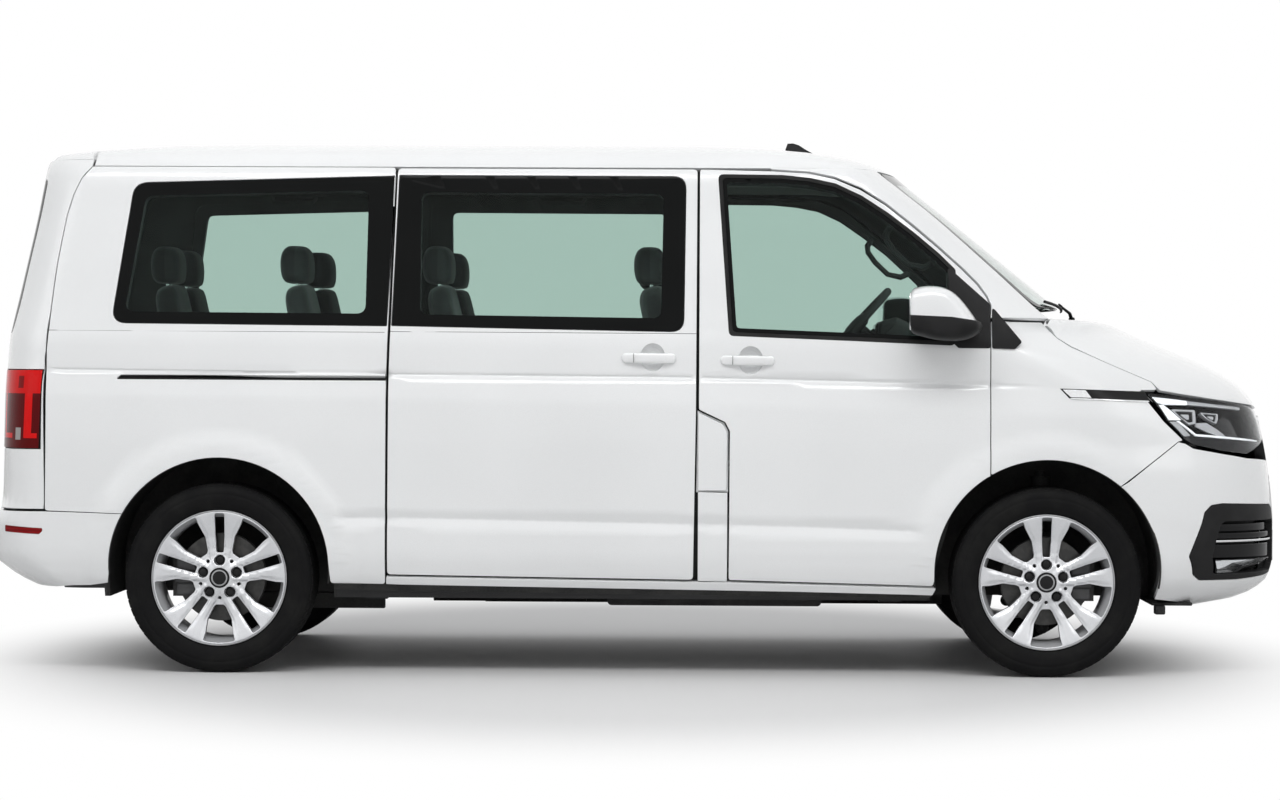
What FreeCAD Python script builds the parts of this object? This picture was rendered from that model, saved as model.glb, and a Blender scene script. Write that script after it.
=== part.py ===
import FreeCAD, Part
import math
import os

os.makedirs("parts", exist_ok=True)
V = FreeCAD.Vector

# ---------------------------------------------------------------- driving dimensions (mm)
WHEELBASE = 3000.0
TRACK = 1628.0
REAR_OVERHANG = 930.0
NOSE_OVERHANG = 925.0
LENGTH = REAR_OVERHANG + WHEELBASE + NOSE_OVERHANG
SHIFT_X = REAR_OVERHANG - LENGTH / 2.0        # the rear axle's X when the origin is mid-length
HALF_BODY = 952.0
TYRE_R = 343.5
TYRE_W = 255.0
RIM_R = 246.0
RIM_INNER_R = 213.0
AXLE_Z = TYRE_R
HUB_R = 32.0
KINGPIN_IN = 60.0                             # the kingpin stands this far inboard of the wheel's middle
WALL = 58.0                                   # door and side wall thickness
ROOF_T = 40.0
GAP = 6.0                                     # shut line between two panels
INNER_GAP = 26.0                              # the same line inside, behind the outer skin
SKIN_T = 12.0
GLASS_T = 5.0
GLASS_SET = 1.0                               # glass face set in from the panel face
GLASS_CLR = 3.0
FRONT_ARCH = dict(x=3000.0, z=380.0, r=412.0)
REAR_ARCH = dict(x=0.0, z=382.0, r=404.0)
LINER_IN = 486.0                              # inner wall of the wheel houses, from the centreline
FLOOR_Z = 330.0
FLOOR_T = 60.0
LUG_N = 5
LUG_R = 61.0
LUG_HOLE_R = 17.0
STEER_CLR = 0.35

# ---------------------------------------------------------------- body contour at each height
# half_w side; x_f nose centre; y_f, x_b where the nose bow ends; x_s where the front corner meets the
# side; x_r rear centre; y_r, d_r where the rear bow ends; x_q where the rear corner meets the side
COLS = ("z", "half_w", "x_f", "y_f", "x_b", "x_s", "x_r", "y_r", "d_r", "x_q")
ROWS = [
    (240, 868, 3660, 440, 3600, 3150, -640, 520, 40, -380),
    (268, 890, 3790, 500, 3730, 3200, -690, 560, 45, -430),
    (300, 905, 3858, 550, 3795, 3240, -760, 620, 50, -500),
    (352, 929, 3908, 590, 3846, 3280, -850, 690, 58, -590),
    (430, 946, 3925, 600, 3862, 3300, -926, 730, 64, -655),
    (545, 951, 3925, 600, 3862, 3300, -925, 740, 65, -662),
    (610, 952, 3922, 600, 3858, 3290, -886, 740, 62, -655),
    (765, 952, 3906, 590, 3842, 3250, -881, 740, 62, -652),
    (900, 952, 3882, 575, 3818, 3190, -879, 740, 62, -650),
    (990, 950, 3856, 555, 3790, 3120, -877, 740, 62, -648),
    (1050, 942, 3808, 520, 3742, 3050, -874, 740, 62, -646),
    (1085, 938, 3764, 505, 3696, 2985, -872, 738, 62, -642),
    (1150, 937, 3642, 480, 3566, 2860, -868, 736, 62, -634),
    (1200, 936, 3516, 450, 3440, 2755, -864, 734, 62, -626),
    (1250, 926, 3396, 430, 3322, 2705, -858, 732, 62, -616),
    (1292, 919, 3282, 600, 3190, 2690, -848, 728, 62, -604),
    (1300, 917, 3172, 770, 3026, 2780, -846, 727, 62, -602),
    (1486, 887, 2940, 745, 2816, 2600, -804, 706, 60, -562),
    (1673, 856, 2706, 715, 2602, 2420, -764, 684, 58, -520),
    (1812, 833, 2530, 680, 2430, 2280, -738, 664, 56, -492),
    (1850, 803, 2484, 640, 2392, 2230, -730, 640, 54, -500),
    (1885, 768, 2396, 590, 2310, 2130, -712, 600, 50, -470),
    (1908, 715, 2288, 530, 2210, 2000, -590, 540, 50, -330),
    (1927, 630, 2140, 450, 2076, 1830, -380, 450, 40, -120),
    (1942, 490, 1860, 340, 1812, 1600, -80, 340, 30, 120),
    (1957, 180, 1300, 110, 1280, 1150, 420, 110, 12, 520),
]
TOP_ROW = 1292                                # rows above this one sink by the roof's thickness inside


def contour(row, inset=0.0, sink=0.0):
    r = dict(zip(COLS, row))
    z = r["z"] - (sink if r["z"] >= TOP_ROW - 250 else sink * max(0.0, (r["z"] - 900) / 250.0))
    w = r["half_w"] - inset
    xf, xb, yf, xs = r["x_f"] - inset, r["x_b"] - inset * 0.85, r["y_f"] - inset * 0.3, r["x_s"] - inset * 0.2
    xr = r["x_r"] + inset
    xq, yr = r["x_q"] + inset * 0.2, r["y_r"] - inset * 0.3
    xrb = r["x_r"] + r["d_r"] + inset * 0.9

    def corner(xa, ya, xc):
        d = w - ya
        rad = ((xa - xc) ** 2 + d * d) / (2.0 * d)
        cy = w - rad
        a0 = math.atan2(ya - cy, xa - xc) + (2.0 * math.pi if xa < xc and ya < cy else 0.0)
        a1 = math.pi / 2.0
        am = 0.5 * (a0 + a1)
        return V(xc + rad * math.cos(am), cy + rad * math.sin(am), z)
    fm, rm = corner(xb, yf, xs), corner(xrb, yr, xq)
    pts = [V(xq, -w, z), V(xs, -w, z), V(xb, -yf, z), V(xb, yf, z), V(xs, w, z), V(xq, w, z),
           V(xrb, yr, z), V(xrb, -yr, z)]
    mids = [None, V(fm.x, -fm.y, z), V(xf, 0, z), V(fm.x, fm.y, z), None, V(rm.x, rm.y, z),
            V(xr, 0, z), V(rm.x, -rm.y, z)]
    edges = []
    for i in range(8):
        a, b = pts[i], pts[(i + 1) % 8]
        if mids[i] is None:
            edges.append(Part.makeLine(a, b))
        else:
            edges.append(Part.Arc(a, mids[i], b).toShape())
    return Part.Wire(edges)


def hull(inset=0.0, sink=0.0, low=None, from_z=0):
    wires = [contour(r, inset, sink) for r in ROWS if r[0] >= from_z]
    if low is not None:
        w0 = wires[0].copy()
        w0.translate(V(0, 0, low - w0.Vertexes[0].Z))
        wires = [w0] + wires
    return Part.makeLoft(wires, True, True)


# ---------------------------------------------------------------- small makers
def box(x0, x1, y0, y1, z0, z1):
    return Part.makeBox(x1 - x0, y1 - y0, z1 - z0, V(x0, y0, z0))


def poly(points):
    return Part.Face(Part.makePolygon([V(*p) for p in points] + [V(*points[0])]))


def side_prism(xz, y0, y1):
    """Outline in side view, swept across from y0 to y1."""
    return poly([(x, y0, z) for x, z in xz]).extrude(V(0, y1 - y0, 0))


def front_prism(yz, x0, x1):
    return poly([(x0, y, z) for y, z in yz]).extrude(V(x1 - x0, 0, 0))


def plan_prism(xy, z0, z1):
    return poly([(x, y, z0) for x, y in xy]).extrude(V(0, 0, z1 - z0))


def grow(xz, d):
    """Move every side of a side-view outline outwards by d (inwards when negative)."""
    n = len(xz)
    area = sum(xz[i][0] * xz[(i + 1) % n][1] - xz[(i + 1) % n][0] * xz[i][1] for i in range(n))
    s = 1.0 if area > 0 else -1.0
    out = []
    for i in range(n):
        (ax, ay), (bx, by), (cx, cy) = xz[i - 1], xz[i], xz[(i + 1) % n]
        u = V(bx - ax, by - ay, 0).normalize()
        v = V(cx - bx, cy - by, 0).normalize()
        nu, nv = V(u.y * s, -u.x * s, 0), V(v.y * s, -v.x * s, 0)
        m = nu + nv
        k = 2.0 * d / max(0.35, m.x ** 2 + m.y ** 2)
        out.append((bx + m.x * k, by + m.y * k))
    return out


def cyl_y(x, z, r, y0, y1):
    return Part.makeCylinder(r, y1 - y0, V(x, y0, z), V(0, 1, 0))


def cyl_z(x, y, r, z0, z1):
    return Part.makeCylinder(r, z1 - z0, V(x, y, z0))


def cyl_x(y, z, r, x0, x1):
    return Part.makeCylinder(r, x1 - x0, V(x0, y, z), V(1, 0, 0))


def rod(a, b, r):
    a, b = V(*a), V(*b)
    return Part.makeCylinder(r, (b - a).Length, a, b - a)


def rbox(x0, x1, y0, y1, z0, z1, r, axis="y"):
    """Box whose edges along one axis are rounded."""
    s = box(x0, x1, y0, y1, z0, z1)
    d = {"x": V(1, 0, 0), "y": V(0, 1, 0), "z": V(0, 0, 1)}[axis]
    es = [e for e in s.Edges if abs((e.Vertexes[1].Point - e.Vertexes[0].Point).normalize().dot(d)) > 0.99]
    return s.makeFillet(r, es)


def mirror(shape):
    return shape.mirror(V(0, 0, 0), V(0, 1, 0))


def fuse(shapes):
    s = shapes[0]
    return s.fuse(shapes[1:]) if len(shapes) > 1 else s


NODES = {}


def keep(name, *shapes):
    """File shapes as one node; every solid of every shape is kept, crumbs are not."""
    solids = []
    for s in shapes:
        for b in s.Solids:
            if b.Volume > 400.0:
                solids.append(b)
    NODES[name] = solids


# ---------------------------------------------------------------- the body shell
outer = hull(0.0)
inner = hull(WALL, ROOF_T, low=180.0)
shell = outer.cut(inner)
skin_in = hull(SKIN_T, SKIN_T * 0.6, low=200.0)
skin = outer.cut(skin_in)                      # only the outer face of a panel
lining = skin_in.cut(inner)                    # the rest of its thickness
UP = 1085                                      # panes only need the body from this height up
upper = hull(0.0, from_z=UP)
glass_skin = hull(GLASS_SET, from_z=UP).cut(hull(GLASS_SET + GLASS_T, 1.5, low=1000.0, from_z=UP))
recess = upper.cut(hull(GLASS_SET + GLASS_T + 0.3, 2.0, low=1000.0, from_z=UP))
screen_skin = hull(1.5, from_z=UP).cut(hull(11.0, 1.0, low=1000.0, from_z=UP))
screen_recess = upper.cut(hull(11.6, 1.2, low=1000.0, from_z=UP))
room = hull(WALL + 0.2, ROOF_T + 0.2, low=180.0)   # the space inside the walls

R_SIDE, L_SIDE = (-1300.0, -300.0), (300.0, 1300.0)
ROOF_LINE = 1842.0
DOOR_FRONT_X = 2794.0
SLIDE = [(608, 357), (611, 1090), (634, ROOF_LINE), (1733, ROOF_LINE), (1731, 960), (1723, 343)]
DOOR_TOP = [(2000, 1836), (2136, 1828), (2229, 1808), (2323, 1768), (2415, 1712), (2509, 1638),
            (2600, 1561), (2691, 1479), (2747, 1423), (2780, 1377), (DOOR_FRONT_X, 1345)]
DOOR_LOW = [(DOOR_FRONT_X, 320), (2587, 325)]
DOOR_R = [(1736, ROOF_LINE)] + DOOR_TOP + DOOR_LOW + [(1846, 342), (1848, 885), (1831, 916), (1736, 962)]
DOOR_L = [(1736, ROOF_LINE)] + DOOR_TOP + DOOR_LOW + [(1727, 344)]
FLAP = [(1734, 668), (1734, 958), (1828, 913), (1844, 884), (1843, 668)]
SIDE = [(-480, ROOF_LINE), (-628, 1170), (-631, 586), (-352, 580), (-352, 330), (400, 326), (656, 321),
        (2587, 289), (2640, 289), (DOOR_FRONT_X, 600), (2760, 700), (1860, 870), (1740, 975), (1740, ROOF_LINE)]
TAILGATE = [(-474, 2050), (-487, ROOF_LINE + 22), (-634, 1170), (-636, 590), (-1300, 590), (-1300, 2050)]
HOOD_LINE = [(2985, 1292), (3087, 1203), (3222, 1143), (3382, 1077), (3430, 1037), (3600, 1013),
             (3778, 990), (4000, 905)]
LAMP = [(3350, 1032), (3600, 1007), (3778, 984), (3860, 956), (3860, 858), (3826, 846), (3744, 802),
        (3530, 839), (3496, 860)]
BUMPER = [(3290, 100), (3290, 690), (3478, 858), (3497, 853), (3531, 833), (3744, 796), (4100, 796),
          (4100, 100)]

arch_f = [cyl_y(FRONT_ARCH["x"], FRONT_ARCH["z"], FRONT_ARCH["r"], *s) for s in (R_SIDE, L_SIDE)]
arch_r = [cyl_y(REAR_ARCH["x"], REAR_ARCH["z"], REAR_ARCH["r"], *s) for s in (R_SIDE, L_SIDE)]
arch_f = [a.fuse(box(FRONT_ARCH["x"] - 405, FRONT_ARCH["x"] + 405, s[0], s[1], 100, 370))
          for a, s in zip(arch_f, (R_SIDE, L_SIDE))]
arch_r = [a.fuse(box(REAR_ARCH["x"] - 385, REAR_ARCH["x"] + 400, s[0], s[1], 100, 360))
          for a, s in zip(arch_r, (R_SIDE, L_SIDE))]


def side_panel(outline, side, d_skin=-GAP / 2, d_in=-INNER_GAP / 2):
    """A door-like panel: full outline at the skin, a smaller one behind it."""
    a = skin.common(side_prism(grow(outline, d_skin), *side))
    b = lining.common(side_prism(grow(outline, d_in), *side))
    return a.fuse(b)


# window outlines (edge of the dark border) and the clear opening inside each
WIN_REAR = [(-388, 1312), (-352, 1268), (608, 1260), (628, 1808), (-285, 1780), (-330, 1757)]
CLR_REAR = [(-345, 1345), (-315, 1312), (500, 1308), (527, 1330), (532, 1735), (515, 1755), (-262, 1733)]
WIN_SLIDE = [(620, 1260), (1645, 1243), (1678, 1266), (1690, 1790), (1660, 1811), (640, 1811)]
CLR_SLIDE = [(727, 1325), (752, 1304), (1578, 1295), (1600, 1316), (1607, 1722), (1580, 1746),
             (754, 1748), (727, 1728)]
WIN_DOOR = [(1856, 1240), (2660, 1210), (2655, 1478), (2600, 1526), (2509, 1603), (2415, 1675),
            (2323, 1735), (2229, 1777), (2136, 1797), (1818, 1802)]
CLR_DOOR = grow(WIN_DOOR, -22)
SCREEN = [(-795, 1316), (795, 1316), (692, 1834), (-692, 1834)]
SCREEN_CLR = [(-725, 1352), (725, 1352), (640, 1795), (-640, 1795)]
BACKLIGHT = [(-815, 1225), (815, 1225), (735, 1800), (-735, 1800)]
BACKLIGHT_CLR = [(-730, 1285), (730, 1285), (660, 1750), (-660, 1750)]


def glaze(panel, win, clear, side):
    """Cut the recess and the opening for a bonded pane, and make the pane."""
    p = panel.cut(recess.common(side_prism(win, *side))).cut(side_prism(clear, *side))
    g = glass_skin.common(side_prism(grow(win, -GLASS_CLR), *side))
    return p, g


# ---------------------------------------------------------------- side panels, doors and their glass
side_glass, door_glass = [], {}
for tag, side, af, ar in (("right", R_SIDE, arch_f[0], arch_r[0]), ("left", L_SIDE, arch_f[1], arch_r[1])):
    front_outline = DOOR_R if tag == "right" else DOOR_L
    panel = shell.common(side_prism(SIDE, *side)).cut(af).cut(ar)
    panel = panel.cut(side_prism(front_outline, *side))
    panel, g = glaze(panel, WIN_REAR if tag == "right" else grow(WIN_REAR, -0.1), CLR_REAR, side)
    side_glass.append(g)
    if tag == "right":
        panel = panel.cut(side_prism(SLIDE, *side))
        slide, g = glaze(side_panel(SLIDE, side), WIN_SLIDE, CLR_SLIDE, side)
        keep("sliding_door", slide)
        keep("sliding_door_glass", g)
        flap_face = skin.common(side_prism(FLAP, *side))
        panel = panel.cut(flap_face)
        panel = panel.cut(skin.common(side_prism([(-376, 1078), (-360, 1084), (604, 1082), (604, 1062), (-376, 1062)], *side)))
        keep("fuel_flap", skin.common(side_prism(grow(FLAP, -GAP / 2), *side)).cut(
            box(1700, 1900, -(HALF_BODY - 6), -900, 600, 1000)))
        arm = box(1744, 1764, -(HALF_BODY - 6.4), -(HALF_BODY - 20), 800, 830)
        guides = [box(600, 608 + INNER_GAP / 2 - 0.4, -920, -902, z, z + 60) for z in (560, 900)]
        guides += [box(1729 - INNER_GAP / 2 - 2, 1742, -920, -902, z, z + 60).cut(
            side_prism(grow(SLIDE, -INNER_GAP / 2 + 0.4), *side)) for z in (560, 880)]
        panel = panel.fuse([arm] + guides)
    else:
        panel, g = glaze(panel, [(646, 1260), (1645, 1243), (1678, 1266), (1690, 1790), (1660, 1811),
                                 (656, 1811)], CLR_SLIDE, side)
        side_glass.append(g)
    keep("side_" + tag, panel)
    door = side_panel(front_outline, side).cut(af)
    door, g = glaze(door, WIN_DOOR, CLR_DOOR, side)
    keep("front_door_" + tag, door)
    keep("door_glass_" + tag, g)
keep("side_glass", *side_glass)

# ---------------------------------------------------------------- roof with the screen pillars
above = side_prism([(-474 + GAP, 2050), (-487 + GAP, ROOF_LINE + 22), (-480 + GAP, ROOF_LINE), (2000, ROOF_LINE)]
                   + DOOR_TOP[1:] + [(DOOR_FRONT_X, 1297), (3500, 1297), (3500, 2050)], -1300, 1300)
roof = shell.common(above)
roof = roof.cut(screen_recess.common(front_prism(SCREEN, 2200, 3400)))
roof = roof.cut(front_prism(SCREEN_CLR, 2200, 3400))
roof_straps = [box(-485 - INNER_GAP / 2 - 0.2, -460, *sorted((s * 300, s * 360)), 1868, 1884) for s in (1, -1)]
keep("roof", roof.fuse(roof_straps))
keep("windscreen", screen_skin.common(front_prism(
    [(-792, 1319), (792, 1319), (689, 1831), (-689, 1831)], 2200, 3400)))

# ---------------------------------------------------------------- hood, fenders, bumper, lamps, grille
HOOD_REAR = [(3262, 0), (3235, 300), (3165, 560), (3072, 780), (2990, 880), (2990, 1300), (4200, 1300),
             (4200, -1300), (2990, -1300), (2990, -880), (3072, -780), (3165, -560), (3235, -300)]


def hood_region(down, back):
    line = [(x, z + down) for x, z in HOOD_LINE]
    reg = side_prism(line + [(4000, 1500), (2985, 1500)], -1300, 1300)
    return reg.common(plan_prism([(x + back, y) for x, y in HOOD_REAR], 800, 1500))


hood = skin.common(hood_region(GAP / 2, GAP / 2)).fuse(lining.common(hood_region(INNER_GAP, INNER_GAP)))
keep("hood", hood)
hood_void = hood_region(-GAP / 2, -GAP / 2)
for tag, side, af, lamp_y in (("right", R_SIDE, arch_f[0], (-1300.0, -545.0)),
                              ("left", L_SIDE, arch_f[1], (545.0, 1300.0))):
    f = shell.common(side_prism([(DOOR_FRONT_X + GAP / 2, 690), (DOOR_FRONT_X + GAP / 2, 1291),
                                 (3140, 1291), (3440, 1042), (3900, 990), (3900, 850), (3496, 858),
                                 (3290 - 4, 692)], *side))
    f = f.cut(af).cut(hood_void).cut(side_prism(grow(LAMP, 3), *lamp_y))
    f = f.cut(side_prism(BUMPER, *side)).cut(plan_prism([(3262, 0), (3235, side[0] / abs(side[0]) * 300),
                                                          (3600, side[0] / abs(side[0]) * 300), (3600, 0)], 800, 1500))
    f = f.cut(box(3560, 4200, -1300, 1300, 700, 1400))
    s = 1 if tag == "left" else -1
    straps = [box(DOOR_FRONT_X - INNER_GAP / 2 + 0.4, 2806, *sorted((s * 896, s * 912)), z, z + 60) for z in (820, 1000)]
    keep("fender_" + tag, f.fuse(straps))
lamps = []
for y in ((-1300.0, -548.0), (548.0, 1300.0)):
    lamps.append(skin.common(side_prism(LAMP, *y)).fuse(lining.common(side_prism(grow(LAMP, 2.7), *y))))
keep("headlamps", *lamps)

nose_open = box(3500, 4200, -545, 545, 700, 1200)
bumper = shell.common(side_prism(BUMPER, -1300, 1300)).cut(nose_open)
for a in arch_f:
    bumper = bumper.cut(a)
INTAKE = [(3540, 366), (3600, 596), (4200, 596), (4200, 366)]
for y in ((-880.0, -560.0), (560.0, 880.0)):
    bumper = bumper.cut(side_prism(INTAKE, *y))
bumper = bumper.cut(side_prism([(3700, 380), (3700, 520), (4200, 520), (4200, 380)], -520, 520))
TOW = dict(y=-470.0, z=560.0, r=9.0, depth=70.0, face_x=3872.0, cover_r=24.0)
bumper = bumper.cut(cyl_x(TOW["y"], TOW["z"], TOW["cover_r"], 3600, 4200))
keep("front_bumper", bumper)

GRILLE = dict(z0=700.4, half=544.6)
grille_plate = shell.common(box(3500, 4200, -GRILLE["half"], GRILLE["half"], GRILLE["z0"], 930))
grille_plate = grille_plate.cut(hood_region(-GAP - 2, -GAP))
bars = [box(3500, 4200, -500, 500, z, z + 26) for z in (722.0, 770.0, 818.0, 866.0)]
for b in bars:
    grille_plate = grille_plate.cut(skin.common(b))
keep("grille", grille_plate)

# intake insets: a louvre block in each corner opening of the bumper, and one in the middle
insets = []
for y0, y1 in ((-879.6, -560.4), (560.4, 879.6)):
    insets.append(lining.common(side_prism(grow(INTAKE, -0.4), y0, y1)))
PLATE = dict(x0=3880.0, x1=3921.0, half=262.0, z0=392.0, z1=512.0)
insets.append(lining.common(box(3700, 4200, -519.6, 519.6, 380.4, 519.6)).cut(
    box(PLATE["x0"] - 0.4, 4200, -PLATE["half"] - 0.4, PLATE["half"] + 0.4, PLATE["z0"] - 0.4, PLATE["z1"] + 0.4)))
NODES["grille"] += [b for s in insets for b in s.Solids]

# ---------------------------------------------------------------- cowl and bulkhead
COWL_HALF = 299.6                             # beyond this the fenders' inner shelves take over
cowl = plan_prism([(2900, -COWL_HALF), (3222, -COWL_HALF), (3240, 0), (3222, COWL_HALF), (2900, COWL_HALF)], 1235, 1284)
cowl_tray = cowl.cut(box(2940, 3020, -260, 260, 1255, 1300))
half_wall = [(LINER_IN - 0.5, FLOOR_Z), (LINER_IN - 0.5, 812), (868, 812), (868, 1100), (834, 1190), (800, 1236)]
bulkhead = front_prism(half_wall + [(-y, z) for y, z in half_wall[::-1]], 2890, 2930).fuse(cowl_tray)
keep("bulkhead", bulkhead)

# ---------------------------------------------------------------- tailgate, its glass and lamps
gate = skin.common(side_prism(TAILGATE, -1300, 1300)).fuse(
    lining.common(side_prism(grow(TAILGATE, -INNER_GAP / 2), -1300, 1300)))
tail_prism = [side_prism([(-1300, 1096), (-640, 1097), (-648, 808), (-1300, 806)], y0, y1)
              for y0, y1 in ((-1300.0, -700.0), (700.0, 1300.0))]
for c in tail_prism:
    gate = gate.cut(c)
gate = gate.cut(recess.common(front_prism(BACKLIGHT, -1300, -520)))
gate = gate.cut(front_prism(BACKLIGHT_CLR, -1300, -520))
keep("tailgate", gate)
keep("tailgate_glass", glass_skin.common(front_prism(grow(BACKLIGHT, -GLASS_CLR), -1300, -520)))
keep("tail_lamps", *[shell.common(side_prism([(-1300, 1095.6), (-640.4, 1096.6), (-648.4, 808.4), (-1300, 806.4)], y0, y1))
                     for y0, y1 in ((-1300.0, -700.4), (700.4, 1300.0))])

# ---------------------------------------------------------------- rear bumper
rb = shell.common(side_prism([(-352, 579.6), (-352, 100), (-1300, 100), (-1300, 582), (-640, 582), (-631, 585.6)],
                             -1300, 1300))
for a in arch_r:
    rb = rb.cut(a)
keep("rear_bumper", rb)

# ---------------------------------------------------------------- floor with the wheel houses
half_in = HALF_BODY - WALL
floor = box(-560, 2890, -half_in, half_in, FLOOR_Z - FLOOR_T, FLOOR_Z).fuse(
    box(-860, -560, -half_in, half_in, FLOOR_Z, FLOOR_Z + 30)).fuse(box(-580, -560, -half_in, half_in, FLOOR_Z - 40, FLOOR_Z + 30))
AXLE_TUNNEL = dict(half=150.0, top=418.0, wall=16.0)
tun = AXLE_TUNNEL
floor = floor.cut(box(-tun["half"], tun["half"], -half_in, half_in, 200, 360)).fuse(
    box(-tun["half"] - tun["wall"], tun["half"] + tun["wall"], -LINER_IN, LINER_IN, 290, tun["top"]).cut(
        box(-tun["half"], tun["half"], -1000, 1000, 200, tun["top"] - tun["wall"])))
floor = floor.fuse(box(2880, 2930, -half_in, half_in, FLOOR_Z - FLOOR_T, FLOOR_Z))
houses = []
for arch, span in ((FRONT_ARCH, 22.0), (REAR_ARCH, 22.0)):
    for s in (-1, 1):
        y0, y1 = sorted((s * LINER_IN, s * 894.0))
        floor = floor.cut(box(arch["x"] - arch["r"] - 16, arch["x"] + arch["r"] + 16, y0, y1, 100, 420))
        full = cyl_y(arch["x"], arch["z"], arch["r"] + 16, y0, y1)
        void = cyl_y(arch["x"], arch["z"], arch["r"] + 6, min(s * (LINER_IN + 10), s * 960), max(s * (LINER_IN + 10), s * 960))
        low = box(arch["x"] - 430, arch["x"] + 430, y0, y1, FLOOR_Z - FLOOR_T, arch["z"])
        low = low.common(box(arch["x"] - arch["r"] - 16, arch["x"] + arch["r"] + 16, y0, y1, 200, 420))
        lowvoid = box(arch["x"] - arch["r"] - 6, arch["x"] + arch["r"] + 6,
                      min(s * (LINER_IN + 10), s * 960), max(s * (LINER_IN + 10), s * 960), 100, arch["z"])
        h = full.common(box(arch["x"] - 500, arch["x"] + 500, y0, y1, arch["z"], 900)).fuse(low)
        houses.append(h.cut(void).cut(lowvoid))
front_houses, rear_houses = houses[:2], houses[2:]
rails = []
for s in (-1, 1):
    y0, y1 = sorted((s * 400, s * 480))
    rails.append(box(2930, 3700, y0, y1, 300.4, 440))
cross = box(3660, 3760, -480, 480, 330, 620).cut(box(3650, 3770, -400, 400, 420, 560))
nose_tie = [box(3560, 3900, min(s * 480, s * 600), max(s * 480, s * 600), 340, 430) for s in (-1, 1)]
JACK_PADS = [(560.0, 760.0), (2440.0, 760.0)]
JACK_Z = 262.0
pads = [box(x - 40, x + 40, s * y - 30, s * y + 30, JACK_Z, FLOOR_Z - FLOOR_T) for x, y in JACK_PADS for s in (1, -1)]
socket = rod((3740, TOW["y"], TOW["z"]), (TOW["face_x"], TOW["y"], TOW["z"]), 17).cut(
    cyl_x(TOW["y"], TOW["z"], TOW["r"], TOW["face_x"] - TOW["depth"], TOW["face_x"] + 1))
socket = socket.fuse(box(3700, 3745, -500, -440, 500, 600))
cross = cross.fuse(box(3660, 3745, -500, -400, 340, 600))
stops = [cyl_z(3600, s * 400, 12, 560, 1300) for s in (1, -1)]
beams = [box(3560, 3640, *sorted((s * 380, s * 480)), 430, 600) for s in (1, -1)]
AXLE_SLOT_R = 52.0
BOOT_FLOOR_T = 30.0            # the floor behind the rear wheel houses is thinner
floor = floor.cut(box(-900, -430, -900, 900, 200, FLOOR_Z - BOOT_FLOOR_T))
keep("floor", fuse([floor] + pads[:0]).common(room).fuse(pads))
keep("wheel_houses", *[h.common(room).cut(cyl_y(0, AXLE_Z, AXLE_SLOT_R, -600, 600)).cut(floor)
                       for h in front_houses + rear_houses])
front_frame = fuse(rails + [cross] + nose_tie + beams + stops).common(room).fuse(socket)
keep("front_frame", *[b.cut(fuse(front_houses)) for b in [front_frame]])

# ---------------------------------------------------------------- running gear
def tyre_solid(yc, s):
    """A tyre on its wheel's middle plane; s is +1 where the outside faces +Y."""
    h = TYRE_W / 2.0
    prof = [(RIM_R - 8.5, -h + 28.3), (RIM_R + 0.5, -h + 26.6), (RIM_R + 0.5, -h + 20), (RIM_R + 4, -h + 14), (RIM_R + 30, -h + 3), (RIM_R + 55, -h), (TYRE_R - 26, -h + 3),
            (TYRE_R - 9, -h + 12), (TYRE_R - 2, -h + 30), (TYRE_R, -h + 60), (TYRE_R, h - 60), (TYRE_R - 2, h - 30),
            (TYRE_R - 9, h - 12), (TYRE_R - 26, h - 3), (RIM_R + 55, h), (RIM_R + 30, h - 3), (RIM_R + 4, h - 14),
            (RIM_R + 0.5, h - 20), (RIM_R + 0.5, h - 26.6), (RIM_R - 8.5, h - 28.3), (RIM_R - 8.5, h - 34), (RIM_R + 10, h - 42), (RIM_R + 60, h - 14), (TYRE_R - 26, h - 22),
            (TYRE_R - 12, h - 60), (TYRE_R - 12, -h + 60), (TYRE_R - 26, -h + 22), (RIM_R + 60, -h + 14),
            (RIM_R + 10, -h + 42), (RIM_R - 8.5, -h + 34)]
    f = poly([(0, y, r) for r, y in prof])
    return f.revolve(V(0, 0, 0), V(0, 1, 0), 360)


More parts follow.
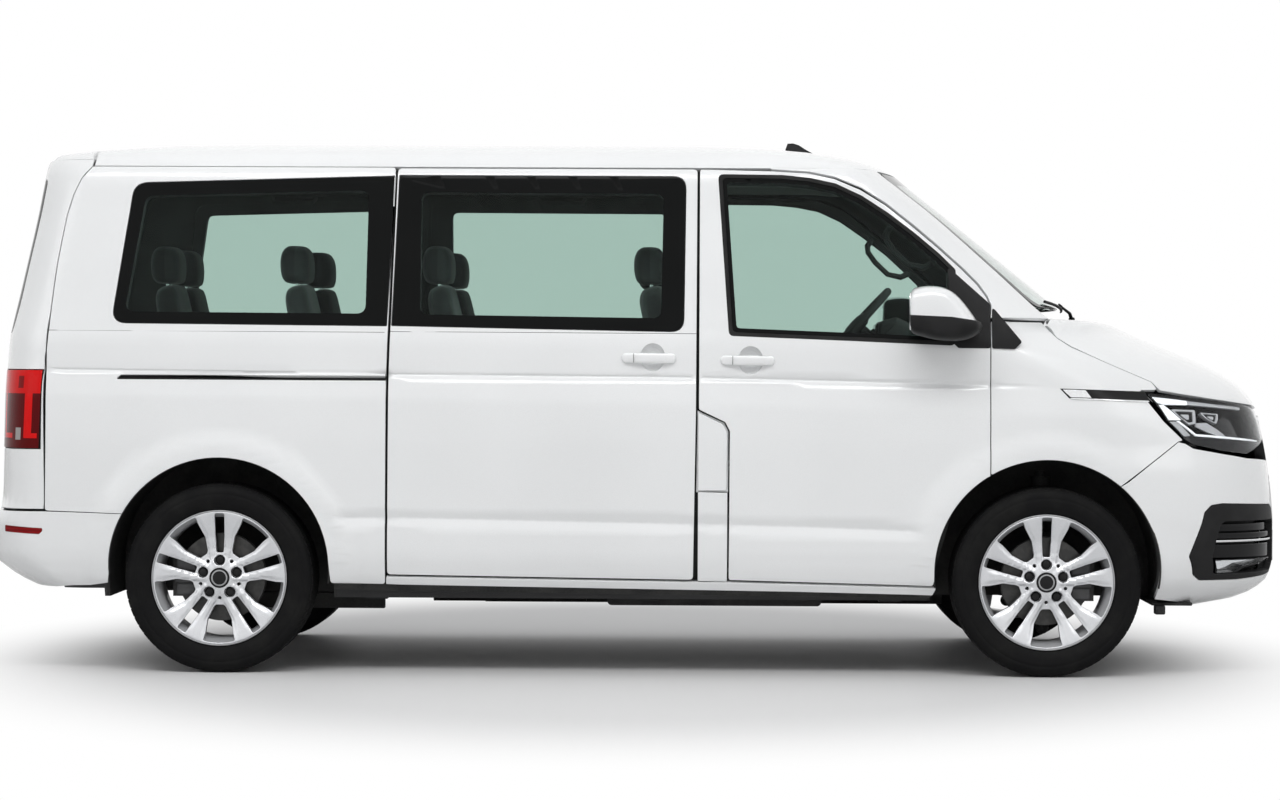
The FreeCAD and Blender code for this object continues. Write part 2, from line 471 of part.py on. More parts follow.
def rim_solid():
    """Rim, outside facing +Y, middle plane at y = 0."""
    h = TYRE_W / 2.0
    prof = [(RIM_R, h - 13), (RIM_R, h - 26), (RIM_R - 9, h - 27.5), (RIM_R - 9, h - 40), (RIM_INNER_R + 16, h - 60),
            (RIM_INNER_R + 16, -h + 60), (RIM_R - 9, -h + 40), (RIM_R - 9, -h + 27.5), (RIM_R, -h + 26), (RIM_R, -h + 13),
            (RIM_R - 16, -h + 13), (RIM_R - 17, -h + 44), (RIM_INNER_R + 6, -h + 62), (RIM_INNER_R + 6, h - 62),
            (RIM_R - 17, h - 40), (RIM_R - 16, h - 13)]
    rim = poly([(0, y, r) for r, y in prof]).revolve(V(0, 0, 0), V(0, 1, 0), 360)
    face = [(HUB_R + 2, 62), (HUB_R + 2, 100), (44, 102), (78, 92), (150, 95), (232, 112), (236, 84),
            (228, 66), (150, 62), (80, 52), (60, 50)]
    disc = poly([(0, y, r) for r, y in face]).revolve(V(0, 0, 0), V(0, 1, 0), 360)
    for k in range(5):
        a = 90.0 - 72.0 * k
        slot = plan_slot(96, 237, 36).extrude(V(0, 200, 0))
        win = poly([(91, 0, -16), (118, 0, -52), (178, 0, -100), (222, 0, -62), (234, 0, 0), (222, 0, 62),
                    (178, 0, 100), (118, 0, 52), (91, 0, 16)])
        win = win.extrude(V(0, 200, 0))
        slot.rotate(V(0, 0, 0), V(0, 1, 0), -a)
        win.rotate(V(0, 0, 0), V(0, 1, 0), -(a + 36))
        hole = Part.makeCylinder(LUG_HOLE_R, 60, V(LUG_R, 74, 0), V(0, 1, 0))
        hole.rotate(V(0, 0, 0), V(0, 1, 0), -a)
        disc = disc.cut(slot).cut(win).cut(hole)
    return rim.fuse(disc)


def plan_slot(r0, r1, w):
    return poly([(r0, 0, -w / 2), (r1, 0, -w / 2), (r1, 0, w / 2), (r0, 0, w / 2)])


rim_master, tyre_master = rim_solid(), tyre_solid(0, 1)
cap = Part.makeCylinder(HUB_R + 1.0, 40, V(0, 66, 0), V(0, 1, 0))
AXLES = (("front", WHEELBASE), ("rear", 0.0))
for ax, x in AXLES:
    for tag, s in (("left", 1), ("right", -1)):
        rim = rim_master.fuse(cap)
        ty = tyre_master.copy()
        if s < 0:
            rim, ty = mirror(rim), mirror(ty)
        for sh, nm in ((rim, "rim"), (ty, "tyre")):
            sh = sh.copy()
            sh.translate(V(x, s * TRACK / 2, AXLE_Z))
            keep("%s_%s_%s" % (nm, ax, tag), sh)

DISC_R = 160.0
for tag, s in (("left", 1), ("right", -1)):
    yw = s * TRACK / 2

    def yb(a, b, yw=yw, s=s):
        return sorted((yw + s * a, yw + s * b))
    ya = yb(-2, 30)
    disc = cyl_y(WHEELBASE, AXLE_Z, DISC_R, *ya)
    hubs = cyl_y(WHEELBASE, AXLE_Z, HUB_R + 2 - STEER_CLR, *yb(30, 65.5))
    spindle = cyl_y(WHEELBASE, AXLE_Z, 60.0, *yb(-100, -2))
    kp = TRACK / 2 - KINGPIN_IN
    post = cyl_z(WHEELBASE, s * kp, 26.0, AXLE_Z - 150, AXLE_Z + 176)
    top_arm = box(WHEELBASE - 22, WHEELBASE + 22, *sorted((s * (kp - 116), s * kp)), AXLE_Z + 136, AXLE_Z + 176)
    strut = cyl_z(WHEELBASE, s * (kp - 116), 20, AXLE_Z + 130, 740).fuse(cyl_z(WHEELBASE, s * (kp - 116), 36, 560, 720))
    caliper = box(WHEELBASE + 96, WHEELBASE + 176, *yb(-26, 50), AXLE_Z - 70, AXLE_Z + 70).cut(
        cyl_y(WHEELBASE, AXLE_Z, 92.0, *yb(-60, 80)))
    arm = box(WHEELBASE + 40, WHEELBASE + 110, *yb(-60, -26), AXLE_Z - 30, AXLE_Z + 30)
    keep("knuckle_" + tag, fuse([disc, hubs, spindle, post, top_arm, strut, caliper, arm]))

# suspension carrier in front, axle behind, both with their springs
sub = box(2930, 3190, -430, 430, 240, 300)
rack = rod((3110, -399.6, 330), (3110, 399.6, 330), 26)
arms = [box(3090, 3130, s * 300 - 20, s * 300 + 20, 296, 330) for s in (-1, 1)]
for s in (-1, 1):
    low = (WHEELBASE, s * (TRACK / 2 - KINGPIN_IN), AXLE_Z - 150 - 24.4)
    arms.append(rod((2960, s * 400, 262), low, 14))
    arms.append(rod((3150, s * 400, 262), low, 14))
    arms.append(Part.makeSphere(24, V(*low)))
    arms.append(box(2970, 3100, *sorted((s * 200, s * 260)), 300, 420))
keep("front_suspension", fuse([sub, rack] + arms))

beam = rod((0, -660, AXLE_Z), (0, 660, AXLE_Z), 45)
diff = rbox(-110, 110, -120, 120, AXLE_Z - 110, AXLE_Z + 56, 40, "y")
rear_parts = [beam, diff]
for s in (-1, 1):
    rear_parts.append(box(-40, 560, *sorted((s * 400, s * 460)), 205, FLOOR_Z - FLOOR_T - 8))
    rear_parts.append(box(-40, 40, *sorted((s * 400, s * 460)), 205, AXLE_Z - 20))
    rear_parts.append(box(500, 560, *sorted((s * 400, s * 460)), 205, FLOOR_Z - FLOOR_T))
    ydisc = sorted((s * (TRACK / 2 - 2), s * (TRACK / 2 + 30)))
    rear_parts.append(cyl_y(0, AXLE_Z, DISC_R, *ydisc))
    rear_parts.append(cyl_y(0, AXLE_Z, HUB_R + 2 - STEER_CLR, *sorted((s * (TRACK / 2 + 28), s * (TRACK / 2 + 65.5)))))
    rear_parts.append(cyl_y(0, AXLE_Z, 60, *sorted((s * 640, s * (TRACK / 2)))))
    cal = box(-176, -96, *sorted((s * (TRACK / 2 - 26), s * (TRACK / 2 + 50))), AXLE_Z - 70, AXLE_Z + 70).cut(
        cyl_y(0, AXLE_Z, 92.0, *sorted((s * 700, s * 900))))
    rear_parts.append(cal)
    rear_parts.append(box(-110, 0, *sorted((s * (TRACK / 2 - 60), s * (TRACK / 2 - 26))), AXLE_Z - 30, AXLE_Z + 30))
keep("rear_axle", fuse(rear_parts))

keep("engine", box(2975, 3500, -280, 280, 420, 1000))

exhaust = fuse([rod((900, 250, 215), (2700, 250, 215), 30), rbox(700, 1300, 150, 350, 192, FLOOR_Z - FLOOR_T, 30, "x")])
keep("underbody", exhaust, rbox(1400, 2200, -500, -120, 224, FLOOR_Z - FLOOR_T, 16, "y"))

# ---------------------------------------------------------------- mirrors, handles, roof fin, wipers
FITTINGS = dict(mirror_x=(2498, 2756), mirror_y=(968, 1148), mirror_z=(1204, 1406))
for tag, s in (("right", -1), ("left", 1)):
    mx, my, mz = FITTINGS["mirror_x"], FITTINGS["mirror_y"], FITTINGS["mirror_z"]
    head = side_prism([(mx[0] + 8, mz[0] + 22), (mx[0] + 70, mz[0] + 4), (2690, mz[0]), (2742, 1246), (mx[1], 1300),
                       (2738, 1330), (2684, 1384), (2640, mz[1]), (2560, mz[1] - 2), (mx[0] + 16, 1380), (mx[0], 1350)],
                      my[0], my[1])
    es = [e for e in head.Edges if abs((e.Vertexes[1].Point - e.Vertexes[0].Point).normalize().y) < 0.1
          and e.CenterOfMass.y > my[1] - 1]
    head = head.makeFillet(26.0, es)
    foot = rbox(2640, 2748, 880, 985, 1216, 1282, 24, "y").cut(outer)
    m = head.fuse(foot)
    if s < 0:
        m = mirror(m)
    keep("mirror_" + tag, m)

HANDLE_COLS = ("name", "x0", "x1", "z0", "z1", "sides")
HANDLES = [("door", 1816, 2012, 1123, 1160, (-1, 1)), ("slide", 1458, 1656, 1131, 1168, (-1,))]
for row in HANDLES:
    h = dict(zip(HANDLE_COLS, row))
    zm = 0.5 * (h["z0"] + h["z1"])
    bar = rbox(h["x0"], h["x1"], 948, 974, h["z0"], h["z1"], 12, "y")
    feet = [box(h["x0"] + 4, h["x0"] + 40, 900, 950, zm - 12, zm + 12).cut(outer),
            box(h["x1"] - 52, h["x1"] - 4, 900, 950, zm - 16, zm + 16).cut(outer)]
    solid = fuse([bar] + feet)
    for s in h["sides"]:
        sh = solid if s > 0 else mirror(solid)
        keep("handle_sliding" if h["name"] == "slide" else "handle_" + ("left" if s > 0 else "right"), sh)

fin = side_prism([(2068, 1900), (2202, 1900), (2198, 1936), (2150, 1958), (2104, 1981), (2074, 1983), (2066, 1950)], -17, 17)
keep("roof_fin", fin.cut(outer))


def screen_x(y, z):
    """The windscreen's face at a height and a distance from the centreline."""
    rows = [dict(zip(COLS, r)) for r in ROWS]
    for a, b in zip(rows, rows[1:]):
        if a["z"] <= z <= b["z"] and a["z"] >= 1300:
            t = (z - a["z"]) / float(b["z"] - a["z"])
            xf = a["x_f"] + t * (b["x_f"] - a["x_f"])
            xb = a["x_b"] + t * (b["x_b"] - a["x_b"])
            yf = a["y_f"] + t * (b["y_f"] - a["y_f"])
            return xf - (xf - xb) * (y / yf) ** 2
    return 0.0


WIPERS = [((640, 1326), (60, 1356)), ((0, 1326), (-600, 1354))]
blades = []
for (y0, z0), (y1, z1) in WIPERS:
    n = 3
    pts = []
    for k in range(n + 1):
        y, z = y0 + (y1 - y0) * k / n, z0 + (z1 - z0) * k / n
        pts.append((screen_x(y, z) + 11, y, z + 11))
    one = [rod(a, b, 7) for a, b in zip(pts, pts[1:])]
    one.append(rod((pts[0][0] + 2, y0, z0 + 16), (pts[0][0] + 14, y0, 1270), 9))
    blade = fuse(one)
    for other in ("bulkhead", "fender_right", "fender_left", "roof", "windscreen"):
        for b in NODES[other]:
            blade = blade.cut(b)
    blades.append(max(blade.Solids, key=lambda b: b.Volume))
keep("wipers", *blades)

# ---------------------------------------------------------------- seats
SEAT_COLS = ("node", "head_x", "mid_y", "half_w", "cushion_len", "cushion_z0", "base_z")
SEATS = [
    ("front_seats", 1560, 430, 245, 500, 560, FLOOR_Z),
    ("rear_seats", 765, 410, 225, 405, 620, FLOOR_Z),
    ("rear_seats", 230, 400, 220, 400, 625, FLOOR_Z),
    ("rear_seats", -280, 248, 220, 400, 625, 418.0),
]
seat_solids = {}
for row in SEATS:
    q = dict(zip(SEAT_COLS, row))
    hx, my, hw = q["head_x"], q["mid_y"], q["half_w"]
    for s in (1, -1):
        y0, y1 = s * my - hw, s * my + hw
        back = side_prism([(hx - 52, 1395), (hx + 6, 1412), (hx + 44, 1396), (hx + 252, 770), (hx + 235, 735),
                           (hx + 120, 715)], y0 + 12, y1 - 12)
        cushion = rbox(hx + 122, hx + 122 + q["cushion_len"], y0, y1, q["cushion_z0"], 745, 45, "y")
        headrest = rbox(hx - 58, hx + 48, s * my - 135, s * my + 135, 1424, 1562, 38, "y")
        post = [rod((hx, s * my + d, 1385), (hx, s * my + d, 1440), 6) for d in (-60, 60)]
        by0, by1 = sorted((s * max(my - 170, 90), s * min(my + 170, 466)))
        base = box(hx + 200, hx + 200 + 0.55 * q["cushion_len"], by0, by1, q["base_z"], q["cushion_z0"] + 10)
        seat_solids.setdefault(q["node"], []).append(fuse([back, cushion, headrest, base] + post))
for name, solids in seat_solids.items():
    keep(name, *solids)

# ---------------------------------------------------------------- dashboard and steering wheel
dash = side_prism([(2890, 812), (2890, 1226), (2760, 1246), (2560, 1246), (2478, 1190), (2496, 1060), (2600, 880),
                   (2640, 812)], -818, 818)
hood_i = side_prism([(2440, 1236), (2450, 1300), (2520, 1320), (2640, 1262), (2640, 1200), (2500, 1180)], 290, 570)
console = side_prism([(2700, 830), (2600, 900), (2480, 1000), (2440, 960), (2460, 700), (2480, FLOOR_Z),
                      (2700, FLOOR_Z)], -150, 150)
keep("dashboard", fuse([dash, hood_i, console]))

WHEEL_C, WHEEL_R, WHEEL_TILT = (2365.0, 430.0, 1283.0), 188.0, 47.5
ring = Part.makeTorus(WHEEL_R, 15)
hub = Part.makeCylinder(62, 40, V(0, 0, -30))
sp = [box(-WHEEL_R, WHEEL_R, -14, 14, -12, 4).fuse(box(-14, 14, -WHEEL_R, 0, -12, 4))]
col = Part.makeCylinder(28, 200, V(0, 0, -225))
wheel = fuse([ring, hub] + sp + [col])
wheel.rotate(V(0, 0, 0), V(0, 0, 1), 90)
wheel.rotate(V(0, 0, 0), V(0, 1, 0), -(90 - WHEEL_TILT))
wheel.translate(V(*WHEEL_C))
keep("steering_wheel", wheel.cut(fuse([dash, hood_i])))

# ---------------------------------------------------------------- plate holder with its two screw holes
plate = box(PLATE["x0"], PLATE["x1"], -PLATE["half"], PLATE["half"], PLATE["z0"], PLATE["z1"])
PLATE_HOLE = dict(y=150.0, z=452.0, r=2.5)
for s in (1, -1):
    plate = plate.cut(cyl_x(s * PLATE_HOLE["y"], PLATE_HOLE["z"], PLATE_HOLE["r"], 3870, 3930))
keep("plate_holder", plate)

# ---------------------------------------------------------------- write every node
for name, solids in NODES.items():
    moved = []
    for b in solids:
        b = b.copy()
        b.translate(V(SHIFT_X, 0, 0))
        moved.append(b)
    shape = moved[0] if len(moved) == 1 else Part.makeCompound(moved)
    shape.exportStep("parts/%s.step" % name)
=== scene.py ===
import math

import bmesh
import bpy
import numpy as np
from mathutils import Matrix, Vector
from mathutils.geometry import delaunay_2d_cdt


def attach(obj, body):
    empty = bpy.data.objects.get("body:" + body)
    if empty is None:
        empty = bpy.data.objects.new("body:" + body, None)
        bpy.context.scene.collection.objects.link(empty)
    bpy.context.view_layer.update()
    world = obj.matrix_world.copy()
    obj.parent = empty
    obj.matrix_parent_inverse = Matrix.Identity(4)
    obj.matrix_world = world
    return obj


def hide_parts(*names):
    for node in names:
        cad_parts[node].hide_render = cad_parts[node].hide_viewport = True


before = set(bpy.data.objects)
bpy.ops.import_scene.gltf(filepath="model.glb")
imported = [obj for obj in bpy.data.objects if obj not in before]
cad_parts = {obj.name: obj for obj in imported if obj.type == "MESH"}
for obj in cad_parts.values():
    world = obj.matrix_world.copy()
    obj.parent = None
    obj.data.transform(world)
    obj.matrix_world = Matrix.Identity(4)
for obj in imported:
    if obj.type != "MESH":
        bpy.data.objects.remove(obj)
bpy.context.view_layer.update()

SHIFT_X = -1497.5            # the rear axle stands this far behind the middle of the length, mm
WHEELBASE, TRACK, AXLE_Z = 3000.0, 1628.0, 343.5


# ------------------------------------------------------------------ finishes
class Tone:
    """One value in a material, with maths that adds the nodes it needs."""

    def __init__(self, finish, socket):
        self.finish, self.socket = finish, socket

    def ramp(self, lo, hi, a=0.0, b=1.0):
        return self.finish.node("ShaderNodeMapRange", {"interpolation_type": "SMOOTHSTEP"},
                                {"Value": self, "From Min": lo, "From Max": hi, "To Min": a, "To Max": b})


def maths(op, back=False):
    def do(self, *other):
        parts = (*other, self) if back else (self, *other)
        return self.finish.node("ShaderNodeMath", {"operation": op}, dict(enumerate(parts)))
    return do


for word, op in (("add", "ADD"), ("sub", "SUBTRACT"), ("mul", "MULTIPLY"), ("truediv", "DIVIDE"),
                 ("pow", "POWER")):
    setattr(Tone, "__%s__" % word, maths(op))
    setattr(Tone, "__r%s__" % word, maths(op, True))
Tone.sin, Tone.abs, Tone.larger = maths("SINE"), maths("ABSOLUTE"), maths("MAXIMUM")


class Finish:
    """A material under construction."""

    def __init__(self, name, **sockets):
        self.mat = bpy.data.materials.new(name)
        self.mat.use_nodes = True
        self.tree = self.mat.node_tree
        self.body, self.out = self.tree.nodes["Principled BSDF"], self.tree.nodes["Material Output"]
        self.set(**sockets)

    def link(self, value, socket):
        if isinstance(value, Tone):
            self.tree.links.new(value.socket, socket)
        else:
            socket.default_value = value

    def set(self, **sockets):
        for key, value in sockets.items():
            self.link(value, self.body.inputs[key.replace("_", " ")])
        return self.mat

    def node(self, kind, settings=(), sockets=(), out=0):
        n = self.tree.nodes.new(kind)
        for key, value in dict(settings).items():
            setattr(n, key, value)
        for key, value in dict(sockets).items():
            self.link(value, n.inputs[key])
        return Tone(self, n.outputs[out])

    def axes(self):
        n = self.node("ShaderNodeSeparateXYZ", (), {0: self.node("ShaderNodeTexCoord", out="Object")})
        return [Tone(self, o) for o in n.socket.node.outputs]

    def noise(self, scale, detail=2.0):
        where = self.node("ShaderNodeTexCoord", out="Object")
        return self.node("ShaderNodeTexNoise", (), {"Vector": where, "Scale": scale, "Detail": detail})

    def mix(self, fac, a, b):
        n = self.tree.nodes.new("ShaderNodeMix")
        n.data_type = "RGBA"
        self.link(fac, n.inputs[0])
        for value, socket in ((a, n.inputs[6]), (b, n.inputs[7])):
            self.link(value if isinstance(value, Tone) else (*value[:3], 1.0), socket)
        return Tone(self, n.outputs[2])

    def bump(self, height, depth, strength=1.0):
        return self.node("ShaderNodeBump", (), {"Height": height, "Distance": depth, "Strength": strength})

    def over(self, fac, shader):
        """Lay another shader over the surface."""
        both = self.node("ShaderNodeMixShader", (), {0: fac, 1: Tone(self, self.body.outputs[0]), 2: shader})
        self.tree.links.new(both.socket, self.out.inputs["Surface"])
        return self.mat


def grained(name, low, high, rough, patch, grain=None, relief=None, glow=0.0, **sockets):
    """Two colours mixed by a patch noise (scale, detail, ramp); the grain noise roughens and embosses."""
    f = Finish(name, **sockets)
    spots = f.noise(*patch[:2])
    g = f.noise(*grain) if grain else spots
    colour = f.mix(spots.ramp(*patch[2:]) if patch[2:] else spots, low, high)
    f.set(Base_Color=colour, Roughness=g.ramp(0.3, 0.7, *rough))
    if relief:
        f.set(Normal=f.bump(g, *relief))
    if glow:
        f.set(Emission_Strength=glow, Emission_Color=colour)
    return f.mat


def moulded(name, low, high, rough=0.5, grain=700.0, depth=0.00012, spec=0.5):
    return grained(name, low, high, (rough - 0.06, rough + 0.06), (9.0, 2.0, 0.35, 0.65), (grain, 2.0),
                   (depth, 0.6), Specular_IOR_Level=spec)


def glossy(name, low, high, rough=0.08, coat=0.6, spec=0.5):
    return grained(name, low, high, (rough, rough + 0.04), (5.0, 2.0), Coat_Weight=coat, Coat_Roughness=0.03,
                   Specular_IOR_Level=spec)


def metal(name, low, high, rough, grain, depth=0.00002):
    return grained(name, low, high, (rough * 0.8, rough * 1.2), (grain, 2.0, 0.3, 0.7), None, (depth, 0.4),
                   Metallic=1.0)


def see_through(name, tint, ior):
    """Pane glass: bright to shadow rays, so the inside is lit through it."""
    f = Finish(name, Base_Color=(*tint, 1.0), Transmission_Weight=1.0, IOR=ior)
    f.set(Roughness=f.noise(6.0, 3.0).ramp(0.3, 0.8, 0.0, 0.004))
    clear = f.node("ShaderNodeBsdfTransparent", (), {"Color": (*[c ** 0.5 for c in tint], 1.0)})
    return f.over(f.node("ShaderNodeLightPath", out="Is Shadow Ray"), clear)


def alloy_silver():
    f = Finish("wheel_silver", Metallic=0.85, Coat_Weight=0.7, Coat_Roughness=0.08)
    flake, dust = f.noise(2600.0, 1.0), f.noise(14.0, 3.0)
    return f.set(Base_Color=f.mix(flake.ramp(0.35, 0.65), (0.60, 0.61, 0.63), (0.74, 0.75, 0.77)),
                 Roughness=flake.ramp(0.3, 0.7, 0.26, 0.36) + dust.ramp(0.45, 0.8, 0.0, 0.06),
                 Normal=f.bump(flake, 0.00002, 0.3))


def woven(name, low, high, pitch=0.0042):
    """Woven cloth with a fine diagonal thread."""
    f = Finish(name, Sheen_Weight=0.35, Sheen_Roughness=0.5, Specular_IOR_Level=0.25)
    x, y, z = f.axes()
    k = 2.0 * math.pi / pitch
    thread = (((x + z) * k).sin() * ((y * 1.15 + z) * k).sin()).ramp(-0.7, 0.7)
    wear = f.noise(3.2, 3.0).ramp(0.4, 0.7)
    return f.set(Base_Color=f.mix(wear * 0.35, f.mix(thread, low, high), [c * 1.35 for c in high]),
                 Roughness=thread.ramp(0.0, 1.0, 0.78, 0.9), Normal=f.bump(thread, 0.0004, 0.5))


def lens(name, low, high):
    """Coloured lamp plastic with fine ribs."""
    f = Finish(name, Transmission_Weight=0.3, IOR=1.25)
    rib = ((f.axes()[2] * (2.0 * math.pi / 0.012)).sin()).ramp(-1.0, 1.0)
    return f.set(Base_Color=f.mix(rib, low, high), Roughness=rib.ramp(0.0, 1.0, 0.05, 0.10),
                 Normal=f.bump(rib, 0.0003, 0.3))


def tail_lens():
    """Lamp lens: bright upper field, dark lower field with a bent light guide and a pale corner."""
    f = Finish("tail_lens", Specular_IOR_Level=0.12)
    x, y, z = f.axes()
    s = (-2.1345 - x - (1.094 - z) * 0.04).larger(0.0) + (0.885 - y.abs()).larger(0.0)

    def box(s0, s1, z0, z1):
        a, b = [v.ramp(lo - 0.0007, lo + 0.0007) * v.ramp(hi - 0.0007, hi + 0.0007, 1.0, 0.0)
                for v, lo, hi in ((s, s0, s1), (z, z0, z1))]
        return a * b
    guide = box(0.036, 0.066, 0.85, 1.02).larger(box(0.014, 0.066, 0.848, 0.866)).larger(
        box(0.205, 0.232, 0.85, 1.02)).larger(box(0.115, 0.232, 0.848, 0.866))
    low = f.mix(guide, (0.10, 0.001, 0.002), (0.68, 0.006, 0.006))
    low = f.mix(box(0.078, 0.1, 0.842, 0.886), low, (0.36, 0.34, 0.33))
    high = f.mix(box(0.074, 0.096, 1.03, 1.074), (0.62, 0.006, 0.006), (0.20, 0.002, 0.003))
    colour = f.mix(z.ramp(1.0102, 1.0114), low, high)
    rib = ((z * 1570.0).sin()).ramp(-1.0, 1.0)
    return f.set(Base_Color=f.mix(s.ramp(0.005, 0.008), (0.012, 0.004, 0.004), colour),
                 Roughness=rib.ramp(0.0, 1.0, 0.08, 0.12), Normal=f.bump(rib, 0.0002, 0.2))


FIN = {
    "paint": grained("white_paint", (0.80, 0.81, 0.815), (0.83, 0.84, 0.845), (0.24, 0.32),
                     (1.3, 2.0, 0.35, 0.65), (900.0, 1.0), (0.00004, 0.35), Coat_Weight=1.0,
                     Coat_Roughness=0.03),
    "pane": see_through("green_pane", (0.60, 0.715, 0.67), 1.18),
    "screen": see_through("windscreen_pane", (0.74, 0.83, 0.79), 1.25),
    "lamp_cover": see_through("lamp_cover", (0.96, 0.97, 0.98), 1.2),
    "pane_edge": glossy("black_glass_edge", (0.003, 0.0035, 0.0035), (0.005, 0.0055, 0.0055), 0.04, 0.0,
                        0.09),
    "black": moulded("black_grained", (0.007, 0.007, 0.0075), (0.012, 0.012, 0.0125), 0.55, spec=0.22),
    "black_gloss": glossy("black_gloss", (0.004, 0.004, 0.0045), (0.008, 0.008, 0.009), 0.12, 0.0, 0.25),
    "under": moulded("underbody_coat", (0.014, 0.014, 0.014), (0.03, 0.029, 0.028), 0.75, 120.0, 0.0006),
    "seal": moulded("door_seal_rubber", (0.008, 0.008, 0.008), (0.014, 0.014, 0.014), 0.7, 900.0, spec=0.25),
    "chrome": metal("bright_chrome", (0.78, 0.79, 0.80), (0.86, 0.87, 0.88), 0.06, 200.0),
    "alloy": alloy_silver(),
    "rim_silver": glossy("rim_silver", (0.34, 0.345, 0.355), (0.42, 0.425, 0.435), 0.3, 0.2),
    "line": glossy("seam_grey", (0.10, 0.10, 0.10), (0.13, 0.13, 0.13), 0.4, 0.0, 0.3),
    "tyre": grained("tyre_rubber", (0.005, 0.005, 0.0054), (0.011, 0.011, 0.0105), (0.62, 0.78),
                    (11.0, 4.0, 0.4, 0.8), (420.0, 3.0), (0.00015, 0.5), Specular_IOR_Level=0.12),
    "iron": metal("cast_iron", (0.10, 0.10, 0.10), (0.17, 0.16, 0.155), 0.6, 160.0, 0.0005),
    "brake": grained("brake_iron", (0.05, 0.05, 0.049), (0.085, 0.083, 0.08), (0.3, 0.5),
                     (30.0, 4.0, 0.4, 0.7), Metallic=0.6),
    "caliper": moulded("caliper_grey", (0.045, 0.045, 0.047), (0.07, 0.07, 0.072), 0.5, 300.0),
    "cloth": woven("seat_cloth", (0.030, 0.031, 0.034), (0.085, 0.087, 0.092)),
    "cloth_side": woven("seat_side_cloth", (0.020, 0.020, 0.022), (0.050, 0.050, 0.053), 0.003),
    "trim": moulded("dark_trim", (0.030, 0.031, 0.032), (0.045, 0.046, 0.048), 0.6),
    "lining": woven("roof_lining", (0.30, 0.30, 0.29), (0.38, 0.38, 0.37), 0.002),
    "carpet": woven("floor_carpet", (0.022, 0.022, 0.023), (0.045, 0.045, 0.046), 0.005),
    "tail_lens": tail_lens(),
    "red": lens("red_lens", (0.62, 0.006, 0.008), (0.80, 0.012, 0.012)),
    "red_dark": lens("dark_red_lens", (0.20, 0.002, 0.003), (0.32, 0.004, 0.005)),
    "lamp_white": grained("lamp_white", (0.82, 0.84, 0.86), (0.92, 0.94, 0.95), (0.2, 0.3), (60.0, 1.0),
                          glow=0.12),
    "mirror": metal("mirror_silver", (0.86, 0.87, 0.88), (0.9, 0.9, 0.9), 0.02, 10.0),
}
TRIM, GLASS, SCREEN_GLASS = "paint trim black", "pane_edge pane_edge pane", "pane_edge pane_edge screen"


# -------------------------------------------------------------- the body's surface (mm, from the rear axle)
# height, half width, nose centre x, bow half width, bow end x, corner start x, rear centre x, rear bow
# half width, rear bow rise, rear corner start x
ROWS = [
    (240, 868, 3660, 440, 3600, 3150, -640, 520, 40, -380),
    (268, 890, 3790, 500, 3730, 3200, -690, 560, 45, -430),
    (300, 905, 3858, 550, 3795, 3240, -760, 620, 50, -500),
    (352, 929, 3908, 590, 3846, 3280, -850, 690, 58, -590),
    (430, 946, 3925, 600, 3862, 3300, -926, 730, 64, -655),
    (545, 951, 3925, 600, 3862, 3300, -925, 740, 65, -662),
    (610, 952, 3922, 600, 3858, 3290, -886, 740, 62, -655),
    (765, 952, 3906, 590, 3842, 3250, -881, 740, 62, -652),
    (900, 952, 3882, 575, 3818, 3190, -879, 740, 62, -650),
    (990, 950, 3856, 555, 3790, 3120, -877, 740, 62, -648),
    (1050, 942, 3808, 520, 3742, 3050, -874, 740, 62, -646),
    (1085, 938, 3764, 505, 3696, 2985, -872, 738, 62, -642),
    (1150, 937, 3642, 480, 3566, 2860, -868, 736, 62, -634),
    (1200, 936, 3516, 450, 3440, 2755, -864, 734, 62, -626),
    (1250, 926, 3396, 430, 3322, 2705, -858, 732, 62, -616),
    (1292, 919, 3282, 600, 3190, 2690, -848, 728, 62, -604),
    (1300, 917, 3172, 770, 3026, 2780, -846, 727, 62, -602),
    (1486, 887, 2940, 745, 2816, 2600, -804, 706, 60, -562),
    (1673, 856, 2706, 715, 2602, 2420, -764, 684, 58, -520),
    (1812, 833, 2530, 680, 2430, 2280, -738, 664, 56, -492),
    (1850, 803, 2484, 640, 2392, 2230, -730, 640, 54, -500),
    (1885, 768, 2396, 590, 2310, 2130, -712, 600, 50, -470),
    (1908, 715, 2288, 530, 2210, 2000, -590, 540, 50, -330),
    (1927, 630, 2140, 450, 2076, 1830, -380, 450, 40, -120),
    (1942, 490, 1860, 340, 1812, 1600, -80, 340, 30, 120),
    (1957, 180, 1300, 110, 1280, 1150, 420, 110, 12, 520),
]
SHELF = (1303, 916, 3080, 830, 2934, 2790, -845, 727, 62, -601)     # the hood's face goes on under the screen
UNDER = (1236, 928, 3252, 795, 3110, 2838, -860, 732, 62, -618)     # the screen's face goes on under the hood
SHOULDER_X, SHOULDER_Z = [-625, 607, 1670, 2103, 2793, 3038, 3341], [1099, 1086, 1080, 1072, 1058, 1048, 1037]
BAND_X, BAND_Z = [-625, 608, 1732, 2790, 3363], [1006, 998, 983, 959, 938]
SILL_X, SILL_Z = [429, 659, 2106, 2546], [568, 570, 545, 530]
PROFILE = [(236, 866), (268, 890), (300, 905), (330, 921), (352, 930), (400, 941), (440, 947), (505, 950),
           (562, 951.4), (610, 952), (900, 952), (984, 951.6), (998, 950.6), (1084, 937.4), (1094, 936.8),
           (1150, 937), (1190, 936.4), (1215, 934), (1250, 926)]


def unit(v):
    """Vectors of length one."""
    return v / np.maximum(np.linalg.norm(v, axis=-1, keepdims=True), 1e-9)


def travel(p):
    """Length along a row of points, from 0 at the first."""
    return np.concatenate([[0], np.cumsum(np.linalg.norm(np.diff(np.asarray(p, float), axis=0), axis=1))])


